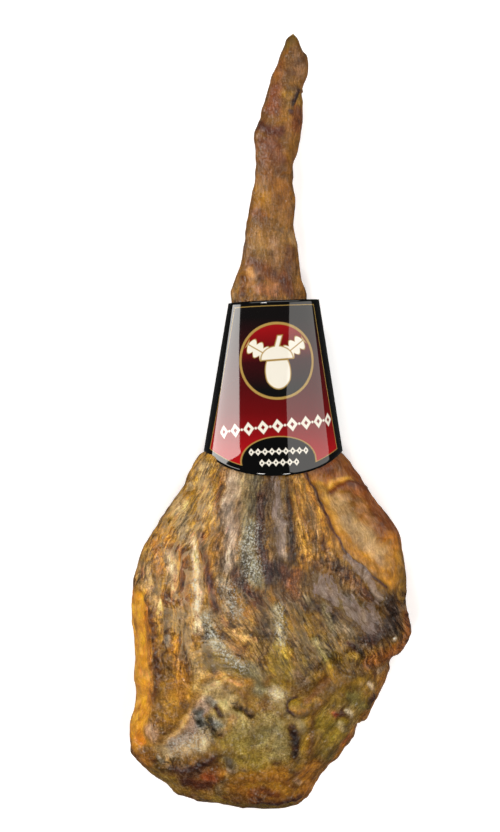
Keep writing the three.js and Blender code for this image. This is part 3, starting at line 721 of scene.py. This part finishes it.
    ("6c6058", 0.6, 3, [(18, 42)]),
    # The shank.
    ("8e6634", 0.9, 10, [(6, 700), (12, 720), (22, 742)]),
    ("8f7226", 0.9, 5, [(16, 738), (22, 746)]),
    ("8c6a52", 0.85, 7, [(24, 722), (26, 710)]),
    ("a06a3e", 0.7, 4, [(10, 718), (6, 704)]),
    ("8a5030", 0.8, 7, [(4, 690), (0, 675)]),
    ("a9822e", 0.9, 4, [(12, 688), (18, 690), (26, 688), (29, 682)]),
    ("a27a2c", 0.9, 3, [(16, 680), (18, 666)]),
    # Painted shade in the slit at the hock and in the notch beside it: this stroke and the next.
    ("3a240e", 0.85, 2.6, [(23, 691), (21, 684), (20, 679)]),
    ("4a2e12", 0.8, 1.7, [(17, 673), (18, 670)]),
    ("90583a", 0.8, 6, [(26, 672), (24, 655)]),
    ("70401e", 0.8, 5, [(-10, 658), (-2, 654), (8, 652)]),
    ("84564a", 0.85, 8, [(-6, 642), (4, 636)]),
    ("7c4e30", 0.8, 6, [(10, 626), (-6, 626)]),
    ("a06f48", 0.8, 12, [(0, 610), (4, 600)]),
    ("ae803a", 0.85, 7, [(-10, 596), (-8, 582)]),
    ("9e6e3c", 0.8, 9, [(12, 596), (10, 570)]),
    ("96603c", 0.8, 5, [(-14, 576), (-8, 570)]),
    ("b08850", 0.85, 9, [(-14, 552), (-10, 538)]),
    ("a8804e", 0.7, 8, [(6, 568), (10, 548)]),
    ("b09068", 0.85, 3.6, [(20, 556), (21, 546)]),
    ("a88464", 0.9, 4, [(2, 548), (4, 532), (6, 516)]),
    ("80561e", 0.8, 6, [(18, 540), (16, 520)]),
    ("80522a", 0.85, 7, [(-20, 524), (-8, 518), (4, 512)]),
    ("c09064", 0.85, 4, [(-22, 518), (-22, 508)]),
    ("c88a5c", 0.9, 5, [(-10, 504), (-2, 498)]),
    ("b48468", 0.8, 3, [(4, 506), (2, 496)]),
    ("84522a", 0.85, 6, [(12, 512), (16, 498)]),
    # Painted shade in a fold.
    ("6a4020", 0.6, 2.5, [(-28, 514), (-27, 496)]),
    ("b08a58", 0.85, 3.4, [(-36, 508), (-37, 496)]),
    ("a07440", 0.8, 4, [(28, 512), (30, 498)]),
    # One crumb of salt.
    ("e3d0b6", 1.0, 1.7, [(117, 166)]),
]
shade = np.zeros(S.shape + (3,))
ragged = 1 + 0.35 * torn + 0.12 * strands
for colour, strength, half_width, path in COLOURS:
    reach = distance(path, XW, SW) / (half_width * ragged)
    share = strength / (1 + reach**5)
    shade += share[..., None] * (linear(colour) - shade)

# Rind: amber, clouded a little, from a few millimetres under the widest level downwards.
RIND_START, RIND_FULL = 2, 22
rind = linear("a66a2c") + (0.10 * cloud(plain, 60, 8, 3))[..., None] * linear("b07a30")
low_side = smooth(along(WIDEST_LEVEL, S) - Z, RIND_START, RIND_FULL)
shade += low_side[..., None] * (rind - shade)

VEIL = np.array([0.044, 0.046, 0.058])  # what the wet coat adds to what the eye sees, taken off here
DEEPEST = 0.20  # the least share of a colour that is left
MIDDLE_GREY, CONTRAST, DIMMED = 0.16, 0.14, 0.90  # (mean / middle) to the power contrast, dimmed
SHANK_TAN = np.array([0.12, 0.26, 0.42])  # the share of each colour that the browner shank gives up
PAD_DIMMED = 0.08
shade = np.maximum(shade - VEIL * (1 - 0.35 * sleek[..., None]), DEEPEST * shade)
shade *= (shade.mean(-1, keepdims=True) / MIDDLE_GREY) ** CONTRAST * DIMMED
shade *= 1 - on_shank[..., None] * SHANK_TAN
shade *= 1 - PAD_DIMMED * (on_pad * face)[..., None]

# Dried juice and painted shade darken the hollows, warm, and a painted highlight makes the crests pale.
# A place stands out by what is left of its relief when the mean of three neighbours, taken many times
# over in both directions, is taken off.
BLUR_ROUNDS = 14
DEEP, HIGH = -1.7, 1.6
HOLLOW_SHADE_AND_JUICE = 0.38
HOLLOW_SHADE_WARMTH = np.array([0.8, 1.0, 1.25])  # the power that each colour's darkening is raised to
around_it = relief.copy()
for _ in range(BLUR_ROUNDS):
    around_it = (around_it + np.roll(around_it, 1, 1) + np.roll(around_it, -1, 1)) / 3
    padded = np.pad(around_it, ((1, 1), (0, 0)), "edge")
    around_it = (padded[:-2] + padded[1:-1] + padded[2:]) / 3
shade_and_highlight_relief = np.clip(relief - around_it, DEEP, HIGH)
shade *= np.exp(HOLLOW_SHADE_AND_JUICE * shade_and_highlight_relief)[..., None] ** HOLLOW_SHADE_WARMTH

# Where white mould grows, where painted shade darkens the pits, sockets and slits, where it is glazed
# and gets a painted sheen, and where a pale film dried on that is pale partly by a painted highlight.
mould = patches([
    (1.0, 9, [(-18, 272), (-22, 250), (-18, 232)]),
    (1.0, 6, [(-61, 188), (-56, 170), (-46, 156), (-30, 146)]),
    (0.8, 9, [(-40, 215), (-34, 196)]),
    (0.8, 4, [(-72, 245), (-71, 200)]),
    (0.9, 5, [(6, 200), (8, 168)]),
    (0.7, 10, [(-70, 76), (-90, 66)]),
    (0.6, 8, [(4, 120)]),
])
pit_shade = patches([
    (1.0, 6, [(-72, 100), (-68, 88), (-66, 82)]),
    (1.0, 6, [(-58, 90), (-52, 79)]),
    (1.0, 5, [(-38, 106), (-28, 103), (-20, 99)]),
    (0.7, 7, [(-108, 52), (-96, 56)]),
    (0.8, 5, [(20, 84), (21, 62)]),
    (0.8, 6, [(72, 168), (92, 168)]),
    (0.8, 6, [(-54, 190), (-8, 170), (-6, 190)]),
    (0.8, 5, [(-104, 46), (-54, 56)]),
    (0.8, 3, [(22, 686), (20, 678)]),
])
soft_glaze = patches([
    (1.0, 16, [(46, 222), (62, 208), (78, 196), (92, 184)]),
    (1.0, 6.5, [(70, 248), (86, 230), (100, 208)]),
    (0.8, 8, [(4, 322), (6, 285), (8, 250)]),
])
filmy = patches([
    (1.0, 26, [(-72, 300), (-84, 250), (-80, 190), (-62, 165)]),
    (0.5, 22, [(-30, 205), (20, 185), (60, 160)]),
], power=4)


def per_vertex(values):
    """A grid's values in the order of the mesh's vertices."""
    middle_rows = values[1:-1].reshape(-1, *values.shape[2:])
    return np.concatenate([middle_rows, values[[0, -1], 0]])


def carry(mesh, name, values):
    """Writes numbers, or triples of them, to the mesh's vertices, for its material to read by name."""
    if values.shape[-1] == 3:
        mesh.attributes.new(name, "FLOAT_VECTOR", "POINT").data.foreach_set("vector", values.ravel())
    else:
        mesh.attributes.new(name, "FLOAT", "POINT").data.foreach_set("value", values.ravel())


paint = ham_mesh.color_attributes.new("paint", "FLOAT_COLOR", "POINT")
rgba = np.ones((len(ham_mesh.vertices), 4))
rgba[:, :3] = np.clip(per_vertex(shade), 0.004, 1)
paint.data.foreach_set("color", rgba.ravel())
carry(ham_mesh, "grain", per_vertex(np.stack([fibre_across, fibre_along, np.zeros_like(S)], -1)))
carry(ham_mesh, "fibrous", per_vertex(fibrous))
carry(ham_mesh, "sleek", per_vertex(sleek))
carry(ham_mesh, "mould", per_vertex(mould))
carry(ham_mesh, "filmy", per_vertex(filmy))
carry(ham_mesh, "glaze", per_vertex(np.clip(soft_glaze, 0, 1) * face))
carry(ham_mesh, "pit_shade", per_vertex(np.clip(pit_shade, 0, 1) * face))


# The meat's material. The helpers below add nodes to the tree of the material that is being made.
meat = bpy.data.materials.new("cured_meat")
meat.use_nodes = True
tree = meat.node_tree
tree.nodes.clear()


def add(kind, inputs=None, **settings):
    """Adds a shader node. An input takes a number, a colour or another node's output."""
    node = tree.nodes.new("ShaderNode" + kind)
    for key, value in settings.items():
        setattr(node, key, value)
    for key, value in (inputs or {}).items():
        if isinstance(value, bpy.types.NodeSocket):
            tree.links.new(value, node.inputs[key])
        else:
            node.inputs[key].default_value = value
    return node


def reckon(operation, *values):
    """A Math node's result."""
    return add("Math", dict(enumerate(values)), operation=operation).outputs[0]


def times(a, b):
    return reckon("MULTIPLY", a, b)


def plus(a, b):
    return reckon("ADD", a, b)


def minus(a, b):
    return reckon("SUBTRACT", a, b)


def magnitude(value):
    return reckon("ABSOLUTE", value)


def weighed(*terms):
    """The sum of some values, each times its weight."""
    total = times(*terms[0])
    for value, weight in terms[1:]:
        total = reckon("MULTIPLY_ADD", value, weight, total)
    return total


def mix(kind, amount, a, b):
    """Two colours mixed by an amount."""
    return add("Mix", {0: amount, 6: a, 7: b}, data_type="RGBA", blend_type=kind).outputs[2]


def ramp(value, *stops):
    """A value turned into a colour, by pairs of place and grey or place and colour."""
    node = add("ValToRGB", {"Fac": value})
    elements = node.color_ramp.elements
    while len(elements) < len(stops):
        elements.new(0.5)
    for element, (place, shown) in zip(elements, stops):
        element.position = place
        element.color = (*shown, 1.0) if isinstance(shown, tuple) else (shown, shown, shown, 1.0)
    return node.outputs["Color"]


def level(value, *stops):
    """A value turned into a number, by pairs of place and number."""
    return add("SeparateColor", {0: ramp(value, *stops)}).outputs[0]


def carried(name, output="Fac"):
    """What the mesh carries under a name."""
    return add("Attribute", attribute_name=name).outputs[output]


def stretched(vector, *scale, turn=0.0):
    """Places for a pattern that is drawn out, and turned by some radians."""
    settings = {"Vector": vector, "Scale": scale, "Rotation": (0.0, 0.0, turn)}
    return add("Mapping", settings).outputs["Vector"]


def noise(vector, scale, detail=3.0, rough=0.6, warp=0.0):
    """A soft random grey, as fine as the scale says."""
    settings = {"Vector": vector, "Scale": scale, "Detail": detail, "Roughness": rough, "Distortion": warp}
    return add("TexNoise", settings).outputs["Fac"]


def unevenness(vector, scale, detail, rough, warp):
    """Zero along thin wandering lines, growing away from them."""
    return magnitude(minus(noise(vector, scale, detail, rough, warp), 0.5))


NICK_BROWN = (0.46, 0.38, 0.28)
HIGHLIGHT_TINT = (1.22, 1.24, 1.35, 1.0)  # a lit crest: the meat's own colour times this, and then some more light
HIGHLIGHT_ADDED = (0.085, 0.076, 0.058, 1.0)


def nicked_and_highlighted(colour, value, amount):
    """A colour with darker, browner nicks where a value is low and painted highlights where it is high."""
    colour = mix("MULTIPLY", amount, colour, ramp(value, (0.39, NICK_BROWN), (0.48, 1.0)))
    painted_highlight = mix("ADD", 1.0, mix("MULTIPLY", 1.0, colour, HIGHLIGHT_TINT), HIGHLIGHT_ADDED)
    return mix("MIX", times(level(value, (0.53, 0.0), (0.62, 1.0)), amount), colour, painted_highlight)


# Coordinates: metres in the ham, and millimetres across and along its fibres, drawn out along them.
where = add("TexCoord").outputs["Object"]
grain = carried("grain", "Vector")
combed = stretched(grain, 1.0, 0.16, 0.0)
crinkled = stretched(grain, 1.0, 0.42, 0.0)
flaked = stretched(where, 1.0, 0.38, 1.0, turn=0.75)

# How fibrous and how sleek it is, and where it is neither.
fibrous_now = carried("fibrous")
sleek_now = carried("sleek")
glaze_now = carried("glaze")
rough_flesh = minus(1.0, times(sleek_now, 0.75))
bare = minus(rough_flesh, times(fibrous_now, 0.9))
crisp = level(noise(where, 30.0, 2.0), (0.42, 0.25), (0.58, 1.0))  # patches where the detail is sharp

# Patterns. A scale is the number of cells to a metre, or to a millimetre across the fibres.
blotches = noise(where, 70.0, 6.0, 0.62, 0.3)
streaks = weighed(
    (noise(combed, 0.15, 3.0, 0.6, 0.7), 0.6),
    (noise(combed, 0.45, 3.0, 0.6, 0.4), 0.4),
)
threads = noise(stretched(grain, 1.0, 0.20, 0.0), 0.5, 3.0, 0.62, 0.5)
wrinkles = noise(stretched(grain, 1.0, 0.30, 0.0), 0.40, 4.0, 0.68, 0.8)
cracks = noise(crinkled, 0.24, 5.0, 0.70, 0.9)
flakes = noise(flaked, 230.0, 4.0, 0.62, 0.9)
crumbs = noise(where, 380.0)
grit = noise(where, 620.0, 2.0, 0.7)

# The painted colour, broken up by each of them.
colour = carried("paint", "Color")
overlays = (
    (times(fibrous_now, 0.8), streaks, (0.38, 0.12), (0.50, 0.47), (0.61, 0.74)),
    (0.55, blotches, (0.36, 0.16), (0.50, 0.48), (0.62, 0.72)),
    (times(rough_flesh, 0.4), crumbs, (0.35, 0.22), (0.50, 0.50), (0.66, 0.74)),
    (times(rough_flesh, 0.25), grit, (0.38, 0.20), (0.50, 0.50), (0.62, 0.74)),
    (times(fibrous_now, 0.4), threads, (0.40, 0.18), (0.50, 0.50), (0.61, 0.70)),
)
for amount, pattern, *stops in overlays:
    colour = mix("OVERLAY", amount, colour, ramp(pattern, *stops))

# A painted sheen in ragged patches on the glazed meat, then nicks and painted highlights on the crests.
GLAZE_SHEEN = (0.25, 0.180, 0.150, 1.0)
sheen_edge = weighed((glaze_now, 0.42), (noise(crinkled, 0.10, 5.0, 0.68, 0.9), 1.0))
colour = mix("MIX", level(sheen_edge, (0.80, 0.0), (0.82, 0.55), (0.95, 0.66)), colour, GLAZE_SHEEN)
# Painted highlights: each of these lightens the crests of a pattern as well as darkening its nicks.
colour = nicked_and_highlighted(colour, threads, times(times(fibrous_now, crisp), 0.95))
colour = nicked_and_highlighted(colour, grit, times(times(rough_flesh, crisp), 0.38))
colour = nicked_and_highlighted(colour, flakes, times(bare, 0.55))
colour = nicked_and_highlighted(colour, wrinkles, times(sleek_now, 0.45))
colour = nicked_and_highlighted(colour, cracks, times(glaze_now, 0.75))

# Splits between the fibres.
split = unevenness(crinkled, 0.065, 2.0, 0.5, 0.8)
split_brown = ramp(split, (0.0, (0.34, 0.26, 0.18)), (0.010, (0.66, 0.58, 0.5)), (0.03, 1.0))
colour = mix("MULTIPLY", times(fibrous_now, 0.8), colour, split_brown)

# A film of dried fat, thickest at its edge and pale partly by a painted highlight, and golden and rosy
# tints.
FAT_FILM_AND_HIGHLIGHT = (0.66, 0.48, 0.24, 1.0)
film_edge = noise(crinkled, 0.10, 3.0, 0.55, 0.6)
film_and_highlight_share = level(film_edge, (0.50, 0.0), (0.52, 0.40), (0.58, 0.26), (0.66, 0.06))
colour = mix("MIX", times(film_and_highlight_share, carried("filmy")), colour, FAT_FILM_AND_HIGHLIGHT)
golden = level(noise(where, 38.0, 4.0), (0.5, 0.0), (0.68, 0.25))
colour = mix("MIX", golden, colour, mix("MULTIPLY", 1.0, colour, (1.03, 1.0, 0.65, 1.0)))
rosy = level(noise(combed, 0.2, 5.0), (0.56, 0.0), (0.74, 0.4))
colour = mix("MIX", rosy, colour, mix("MULTIPLY", 1.0, colour, (1.12, 0.96, 1.25, 1.0)))

# Specks of white mould, and painted shade in the pits, sockets and slits.
MOULD_WHITE = (0.66, 0.66, 0.58, 1.0)
PIT_SHADE = (0.22, 0.21, 0.17, 1.0)
specks = level(noise(where, 480.0, 2.0), (0.50, 0.0), (0.64, 1.0))
colour = mix("MIX", times(times(carried("mould"), specks), 0.8), colour, MOULD_WHITE)
pit_shade_breakup = level(noise(where, 150.0, 5.0, 0.62, 0.6), (0.47, 1.0), (0.53, 0.0))
colour = mix("MULTIPLY", times(pit_shade_breakup, carried("pit_shade")), colour, PIT_SHADE)

# The flesh has its own fine relief, and the fat that lies wet on it follows a softer one.
ripples = noise(crinkled, 0.34, 1.0, 0.5, 0.8)
dimples = noise(where, 240.0, 1.0, 0.5, 0.5)
film = unevenness(where, 170.0, 4.0, 0.6, 1.0)
wet_height = weighed((times(ripples, rough_flesh), 2.3), (times(dimples, rough_flesh), 1.5), (blotches, 1.2))
flesh_height = weighed(
    (times(streaks, fibrous_now), 1.6),
    (times(blotches, rough_flesh), 1.4),
    (times(film, rough_flesh), 0.9),
    (times(crumbs, rough_flesh), 0.7),
)
wet = add("Bump", {"Height": wet_height, "Strength": 1.0, "Distance": 0.0012})
bump = add("Bump", {"Height": flesh_height, "Strength": 1.0, "Distance": 0.0018})
flesh = add("BsdfPrincipled", {
    "Base Color": colour,
    "Roughness": level(blotches, (0.35, 0.42), (0.62, 0.68)),
    "Specular IOR Level": 0.10,
    "Subsurface Weight": 0.05,
    "Subsurface Scale": 0.004,
    "Subsurface Radius": (1.0, 0.5, 0.25),
    "Coat Weight": 0.65,
    "Coat Roughness": 0.09,
    "Coat IOR": 1.5,
    "Normal": bump.outputs["Normal"],
    "Coat Normal": wet.outputs["Normal"],
})
tree.links.new(flesh.outputs[0], add("OutputMaterial").inputs["Surface"])
ham_mesh.materials.append(meat)


# The sleeve. One sheet of glossy card, printed black and red with gold lines, rolled into a cone round
# the knee and glued in a lap underneath. Its lower edge is cut in an arc that hangs over the lean face.
SLEEVE_TILT = 0.045  # how much its upper edge climbs, for each millimetre to the right
CARD = 0.6  # thick
LAP = 14.0  # wide
LAP_RADIUS = 66.0  # of the cone where the lap is
CONE_LEFT = (-65.0, -40.9)  # its inner face at the lower and at the upper edge
CONE_RIGHT = (68.2, 45.7)
CONE_UNDER = (4.7, 15.1)
CONE_TOP = (98.9, 73.7)
CONE_SQUARE = 0.88
SPLAY = 6.0  # how far the hanging part stands out at each side
SPLAY_DROP = 0.16  # how far down it does so in full, as a share of the sleeve's height
SLEEVE_COLUMNS, SLEEVE_ROWS = 300, 64


def between(pair, share):
    """From the first of a pair to the second: a + (b - a) times the share."""
    return pair[0] + (pair[1] - pair[0]) * share


def cone(angle, share, out):
    """The card's face at an angle round the knee and a share of the way up, as x, s and z: half ovals
    between four straight edges, pushed out by a distance. Where it hangs down it splays with the ham."""
    low = SLEEVE_LOW - SLEEVE_DIP * np.clip(np.sin(angle), 0, 1) ** 2
    half_head = (between(CONE_RIGHT, 1) - between(CONE_LEFT, 1)) / 2
    high = SLEEVE_HIGH + SLEEVE_TILT * np.cos(angle) * half_head
    s = low + (high - low) * share
    climb = (s - SLEEVE_LOW) / (SLEEVE_HIGH - SLEEVE_LOW)
    held = np.maximum(climb, 0)
    stand_off = out + SPLAY * smooth(-climb, 0, SPLAY_DROP)
    left, right = between(CONE_LEFT, held) - stand_off, between(CONE_RIGHT, held) + stand_off
    widest = along(WIDEST_LEVEL, s)
    up = signed_power(np.sin(angle), CONE_SQUARE)
    over, under = between(CONE_TOP, climb) - widest, widest - between(CONE_UNDER, climb)
    x = (left + right) / 2 + signed_power(np.cos(angle), CONE_SQUARE) * (right - left) / 2
    return np.stack([x, s, widest + up * (np.where(up > 0, over, under) + out)], -1)


card_angle = 2 * math.pi * (np.arange(SLEEVE_COLUMNS) + 0.5) / SLEEVE_COLUMNS
card_share = np.linspace(0, 1, SLEEVE_ROWS)
A, T = np.meshgrid(card_angle, card_share, indexing="ij")
in_lap = np.abs(A - 1.5 * math.pi) < LAP / 2 / LAP_RADIUS
inside = cone(A, T, 0.0)
outside = cone(A, T, CARD * (1 + in_lap))

# Up the inner face and down the outer one, round and round: a closed grid both ways.
loops = np.concatenate([inside, outside[:, ::-1]], axis=1)
index = np.arange(loops[..., 0].size).reshape(loops.shape[:2])
beside = np.roll(index, -1, axis=0)
quads = np.stack([index, np.roll(index, -1, 1), np.roll(beside, -1, 1), beside], -1).reshape(-1, 4)
sleeve_mesh = bpy.data.meshes.new("printed_sleeve")
sleeve_mesh.from_pydata(set_in_frame(loops).reshape(-1, 3), [], quads.tolist())
sleeve_mesh.shade_smooth()
sleeve = bpy.data.objects.new("printed_sleeve", sleeve_mesh)
bpy.context.scene.collection.objects.link(sleeve)
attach(sleeve, "root")
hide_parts("label_sleeve")

# Where the print falls: millimetres round from the front, and up from the lower edge of the sides.
step = np.linalg.norm(np.roll(outside, -1, axis=0) - outside, axis=-1)
front = np.argmin(np.abs(card_angle - math.pi / 2))
round_from_right = np.cumsum(step, axis=0) - step
across = round_from_right[front] - round_from_right
up_card = outside[..., 1] - SLEEVE_LOW
above_edge = outside[..., 1] - outside[:, :1, 1]
below_top = outside[:, -1:, 1] - outside[..., 1]

# How far past the side edges of the printed panel, which follow the cone and stay in view.
PANEL_EDGE = (0.93, 0.855)  # how far round the front the panel reaches, as a share of the half width
FORESHORTENED = 1.6  # millimetres of card for each millimetre seen there
UNDERNEATH = 20.0  # any distance well past the panel
half_front = (between(CONE_RIGHT, T) - between(CONE_LEFT, T)) / 2
centre_front = (between(CONE_RIGHT, T) + between(CONE_LEFT, T)) / 2
sideways = np.abs(outside[..., 0] - centre_front) / half_front
past_panel = (sideways - between(PANEL_EDGE, T)) * half_front * FORESHORTENED
past_panel = np.where(np.sin(A) > 0, past_panel, UNDERNEATH)


def both_faces(values):
    """The outer face's values for the inner face too, in the order of the loops."""
    return np.concatenate([values, values[:, ::-1]], axis=1)


carry(sleeve_mesh, "across", both_faces(across))
carry(sleeve_mesh, "up_card", both_faces(up_card))
carry(sleeve_mesh, "past_panel", both_faces(past_panel))
carry(sleeve_mesh, "above_edge", both_faces(above_edge))
carry(sleeve_mesh, "below_top", both_faces(below_top))
carry(sleeve_mesh, "outer", np.concatenate([np.zeros_like(A), np.ones_like(A)], axis=1))

# Its material. Every shape of the print is a distance in millimetres, below zero inside the shape.
BLACK = (0.001, 0.001, 0.001, 1.0)
GOLD = (0.42, 0.27, 0.07, 1.0)
CREAM = (0.86, 0.82, 0.72, 1.0)
RAW_CARD = (0.62, 0.56, 0.47, 1.0)
card = bpy.data.materials.new("printed_card")
card.use_nodes = True
tree = card.node_tree
tree.nodes.clear()
print_x, print_y = carried("across"), carried("up_card")
from_foot, from_head = carried("above_edge"), carried("below_top")


def lowest(*values):
    """The lowest of some values, which is any of some shapes."""
    result = values[0]
    for value in values[1:]:
        result = reckon("MINIMUM", result, value)
    return result


def highest(*values):
    """The highest of some values, which is what some shapes share."""
    result = values[0]
    for value in values[1:]:
        result = reckon("MAXIMUM", result, value)
    return result


def rule(shape, half_wide):
    """A line along the edge of a shape."""
    return minus(magnitude(shape), half_wide)


def printed(colour, shape, ink, soft=0.35):
    """Ink laid on a colour inside a shape, with an edge a little soft."""
    inside_it = add("MapRange", {"Value": shape, "From Min": soft, "From Max": -soft}).outputs[0]
    return mix("MIX", inside_it, colour, ink)


def turned(x, y, degrees):
    """A place on axes turned by an angle: x cos + y sin, and y cos - x sin."""
    c, s = math.cos(math.radians(degrees)), math.sin(math.radians(degrees))
    return plus(times(x, c), times(y, s)), minus(times(y, c), times(x, s))


def oval(x, y, rx, ry):
    """An oval, roughly: (the length of (x / rx, y / ry) - 1) times the smaller radius."""
    qx, qy = reckon("DIVIDE", x, rx), reckon("DIVIDE", y, ry)
    r = reckon("SQRT", plus(times(qx, qx), times(qy, qy)))
    return times(minus(r, 1.0), min(rx, ry))


# The panel: black at its head, red at its foot, inside a thin gold line.
PANEL_FOOT, PANEL_HEAD = 6.6, 5.2
panel = highest(carried("past_panel"), minus(PANEL_FOOT, from_foot), minus(PANEL_HEAD, from_head))
height_share = reckon("DIVIDE", plus(print_y, 24.0), 168.0)
red = ramp(
    height_share,
    (0.00, (0.44, 0.005, 0.008)),
    (0.14, (0.38, 0.004, 0.007)),
    (0.24, (0.25, 0.003, 0.005)),
    (0.36, (0.135, 0.002, 0.003)),
    (0.50, (0.080, 0.002, 0.003)),
    (0.72, (0.030, 0.002, 0.003)),
    (0.90, (0.004, 0.003, 0.003)),
)
colour = printed(BLACK, panel, red)
colour = printed(colour, rule(panel, 0.3), GOLD)

# The medallion, which glows red at its head.
MEDALLION_X, MEDALLION_Y, MEDALLION_TURN = 2.0, 86.0, 4.5
MEDALLION_RADIUS = 36.0
mx, my = turned(minus(print_x, MEDALLION_X), minus(print_y, MEDALLION_Y), MEDALLION_TURN)
medallion = oval(mx, my, MEDALLION_RADIUS, MEDALLION_RADIUS)
glow = ramp(
    reckon("DIVIDE", plus(my, MEDALLION_RADIUS), 2 * MEDALLION_RADIUS),
    (0.12, (0.003, 0.003, 0.003)),
    (0.50, (0.035, 0.002, 0.003)),
    (0.95, (0.30, 0.004, 0.006)),
)
colour = printed(colour, medallion, glow)
colour = printed(colour, rule(medallion, 1.2), GOLD)


def oak_leaf(x, y, side):
    """A lobed leaf to one side of the acorn: an oval whose edge swells out by the size of a cosine
    along its length, cut off at its ends, with a vein left open down its middle."""
    lx, ly = turned(minus(x, side * 17.5), minus(y, 11.5), side * 34)
    lobes = times(magnitude(reckon("COSINE", times(lx, 0.43))), 3.8)
    blade = highest(minus(oval(lx, ly, 9.5, 4.0), lobes), minus(magnitude(lx), 11.6))
    vein = minus(0.55, magnitude(ly))
    return highest(blade, vein)


def acorn(x, y):
    """A nut with a pointed end, in a cup with a bent stalk."""
    point = times(reckon("MAXIMUM", minus(-14.0, y), 0.0), 0.25)
    nut = highest(plus(oval(x, plus(y, 6.0), 10.5, 17.0), point), minus(y, 3.4))
    cup = highest(oval(x, minus(y, 5.4), 13.5, 10.5), minus(5.2, y))
    bend = times(minus(y, 14.0), 0.35)
    stalk = highest(rule(minus(x, bend), 1.7), rule(minus(y, 18.0), 7.0))
    return lowest(nut, cup, stalk)


# An acorn over two oak leaves, each cream inside a gold outline.
ACORN_SCALE, ACORN_DROP = 1.1, 4.0
nut_x, nut_y = reckon("DIVIDE", mx, ACORN_SCALE), reckon("DIVIDE", plus(my, ACORN_DROP), ACORN_SCALE)
for shape in (lowest(oak_leaf(mx, my, 1), oak_leaf(mx, my, -1)), acorn(nut_x, nut_y)):
    colour = printed(colour, minus(shape, 0.9), GOLD)
    colour = printed(colour, shape, CREAM)


def lozenges(x, y, pitch, count, half_tall):
    """A row of lozenges with a hole in each and a dot between them: |x| + 0.84 |y| in each cell of the
    row, with a cell round the middle if their number is odd."""
    shift = 0.0 if count % 2 else pitch / 2
    cell = minus(reckon("WRAP", x, pitch / 2 + shift, shift - pitch / 2), shift)
    wide = magnitude(cell)
    slope = plus(wide, times(magnitude(y), 0.84))
    ring = highest(minus(slope, 0.84 * half_tall), minus(0.3 * half_tall, slope))
    dot = oval(minus(wide, pitch / 2), y, 0.18 * half_tall, 0.18 * half_tall)
    ends = rule(x, pitch * (count - 0.3) / 2)
    return highest(lowest(ring, dot), ends)


# A row of large lozenges, and a black plate below it with a gold line and two rows of small ones.
rx, ry = turned(minus(print_x, 2.5), minus(print_y, 24.0), 6.0)
colour = printed(colour, lozenges(rx, ry, 14.0, 9, 6.6), CREAM)
px, py = turned(minus(print_x, 4.0), plus(print_y, 9.0), 2.0)
plate = highest(oval(px, py, 37.0, 23.0), minus(0.0, from_foot))
colour = printed(colour, plate, BLACK)
colour = printed(colour, highest(rule(plate, 0.45), minus(6.4, from_foot)), GOLD)
for row_y, count in ((9.0, 9), (-1.5, 6)):
    colour = printed(colour, lozenges(px, minus(py, row_y), 6.6, count, 3.5), CREAM)

# Bare card inside, varnish over all of it, and the faint tooth of the card under the varnish.
colour = mix("MIX", carried("outer"), RAW_CARD, colour)
tooth = noise(add("TexCoord").outputs["Object"], 900.0, 2.0, 0.5)
slight = add("Bump", {"Height": tooth, "Strength": 0.05, "Distance": 0.0002})
varnish = add("BsdfPrincipled", {
    "Base Color": colour,
    "Roughness": 0.30,
    "Specular IOR Level": 0.0,
    "Coat Weight": 1.0,
    "Coat Roughness": 0.035,
    "Coat IOR": 1.7,
    "Normal": slight.outputs["Normal"],
})
tree.links.new(varnish.outputs[0], add("OutputMaterial").inputs["Surface"])
sleeve_mesh.materials.append(card)
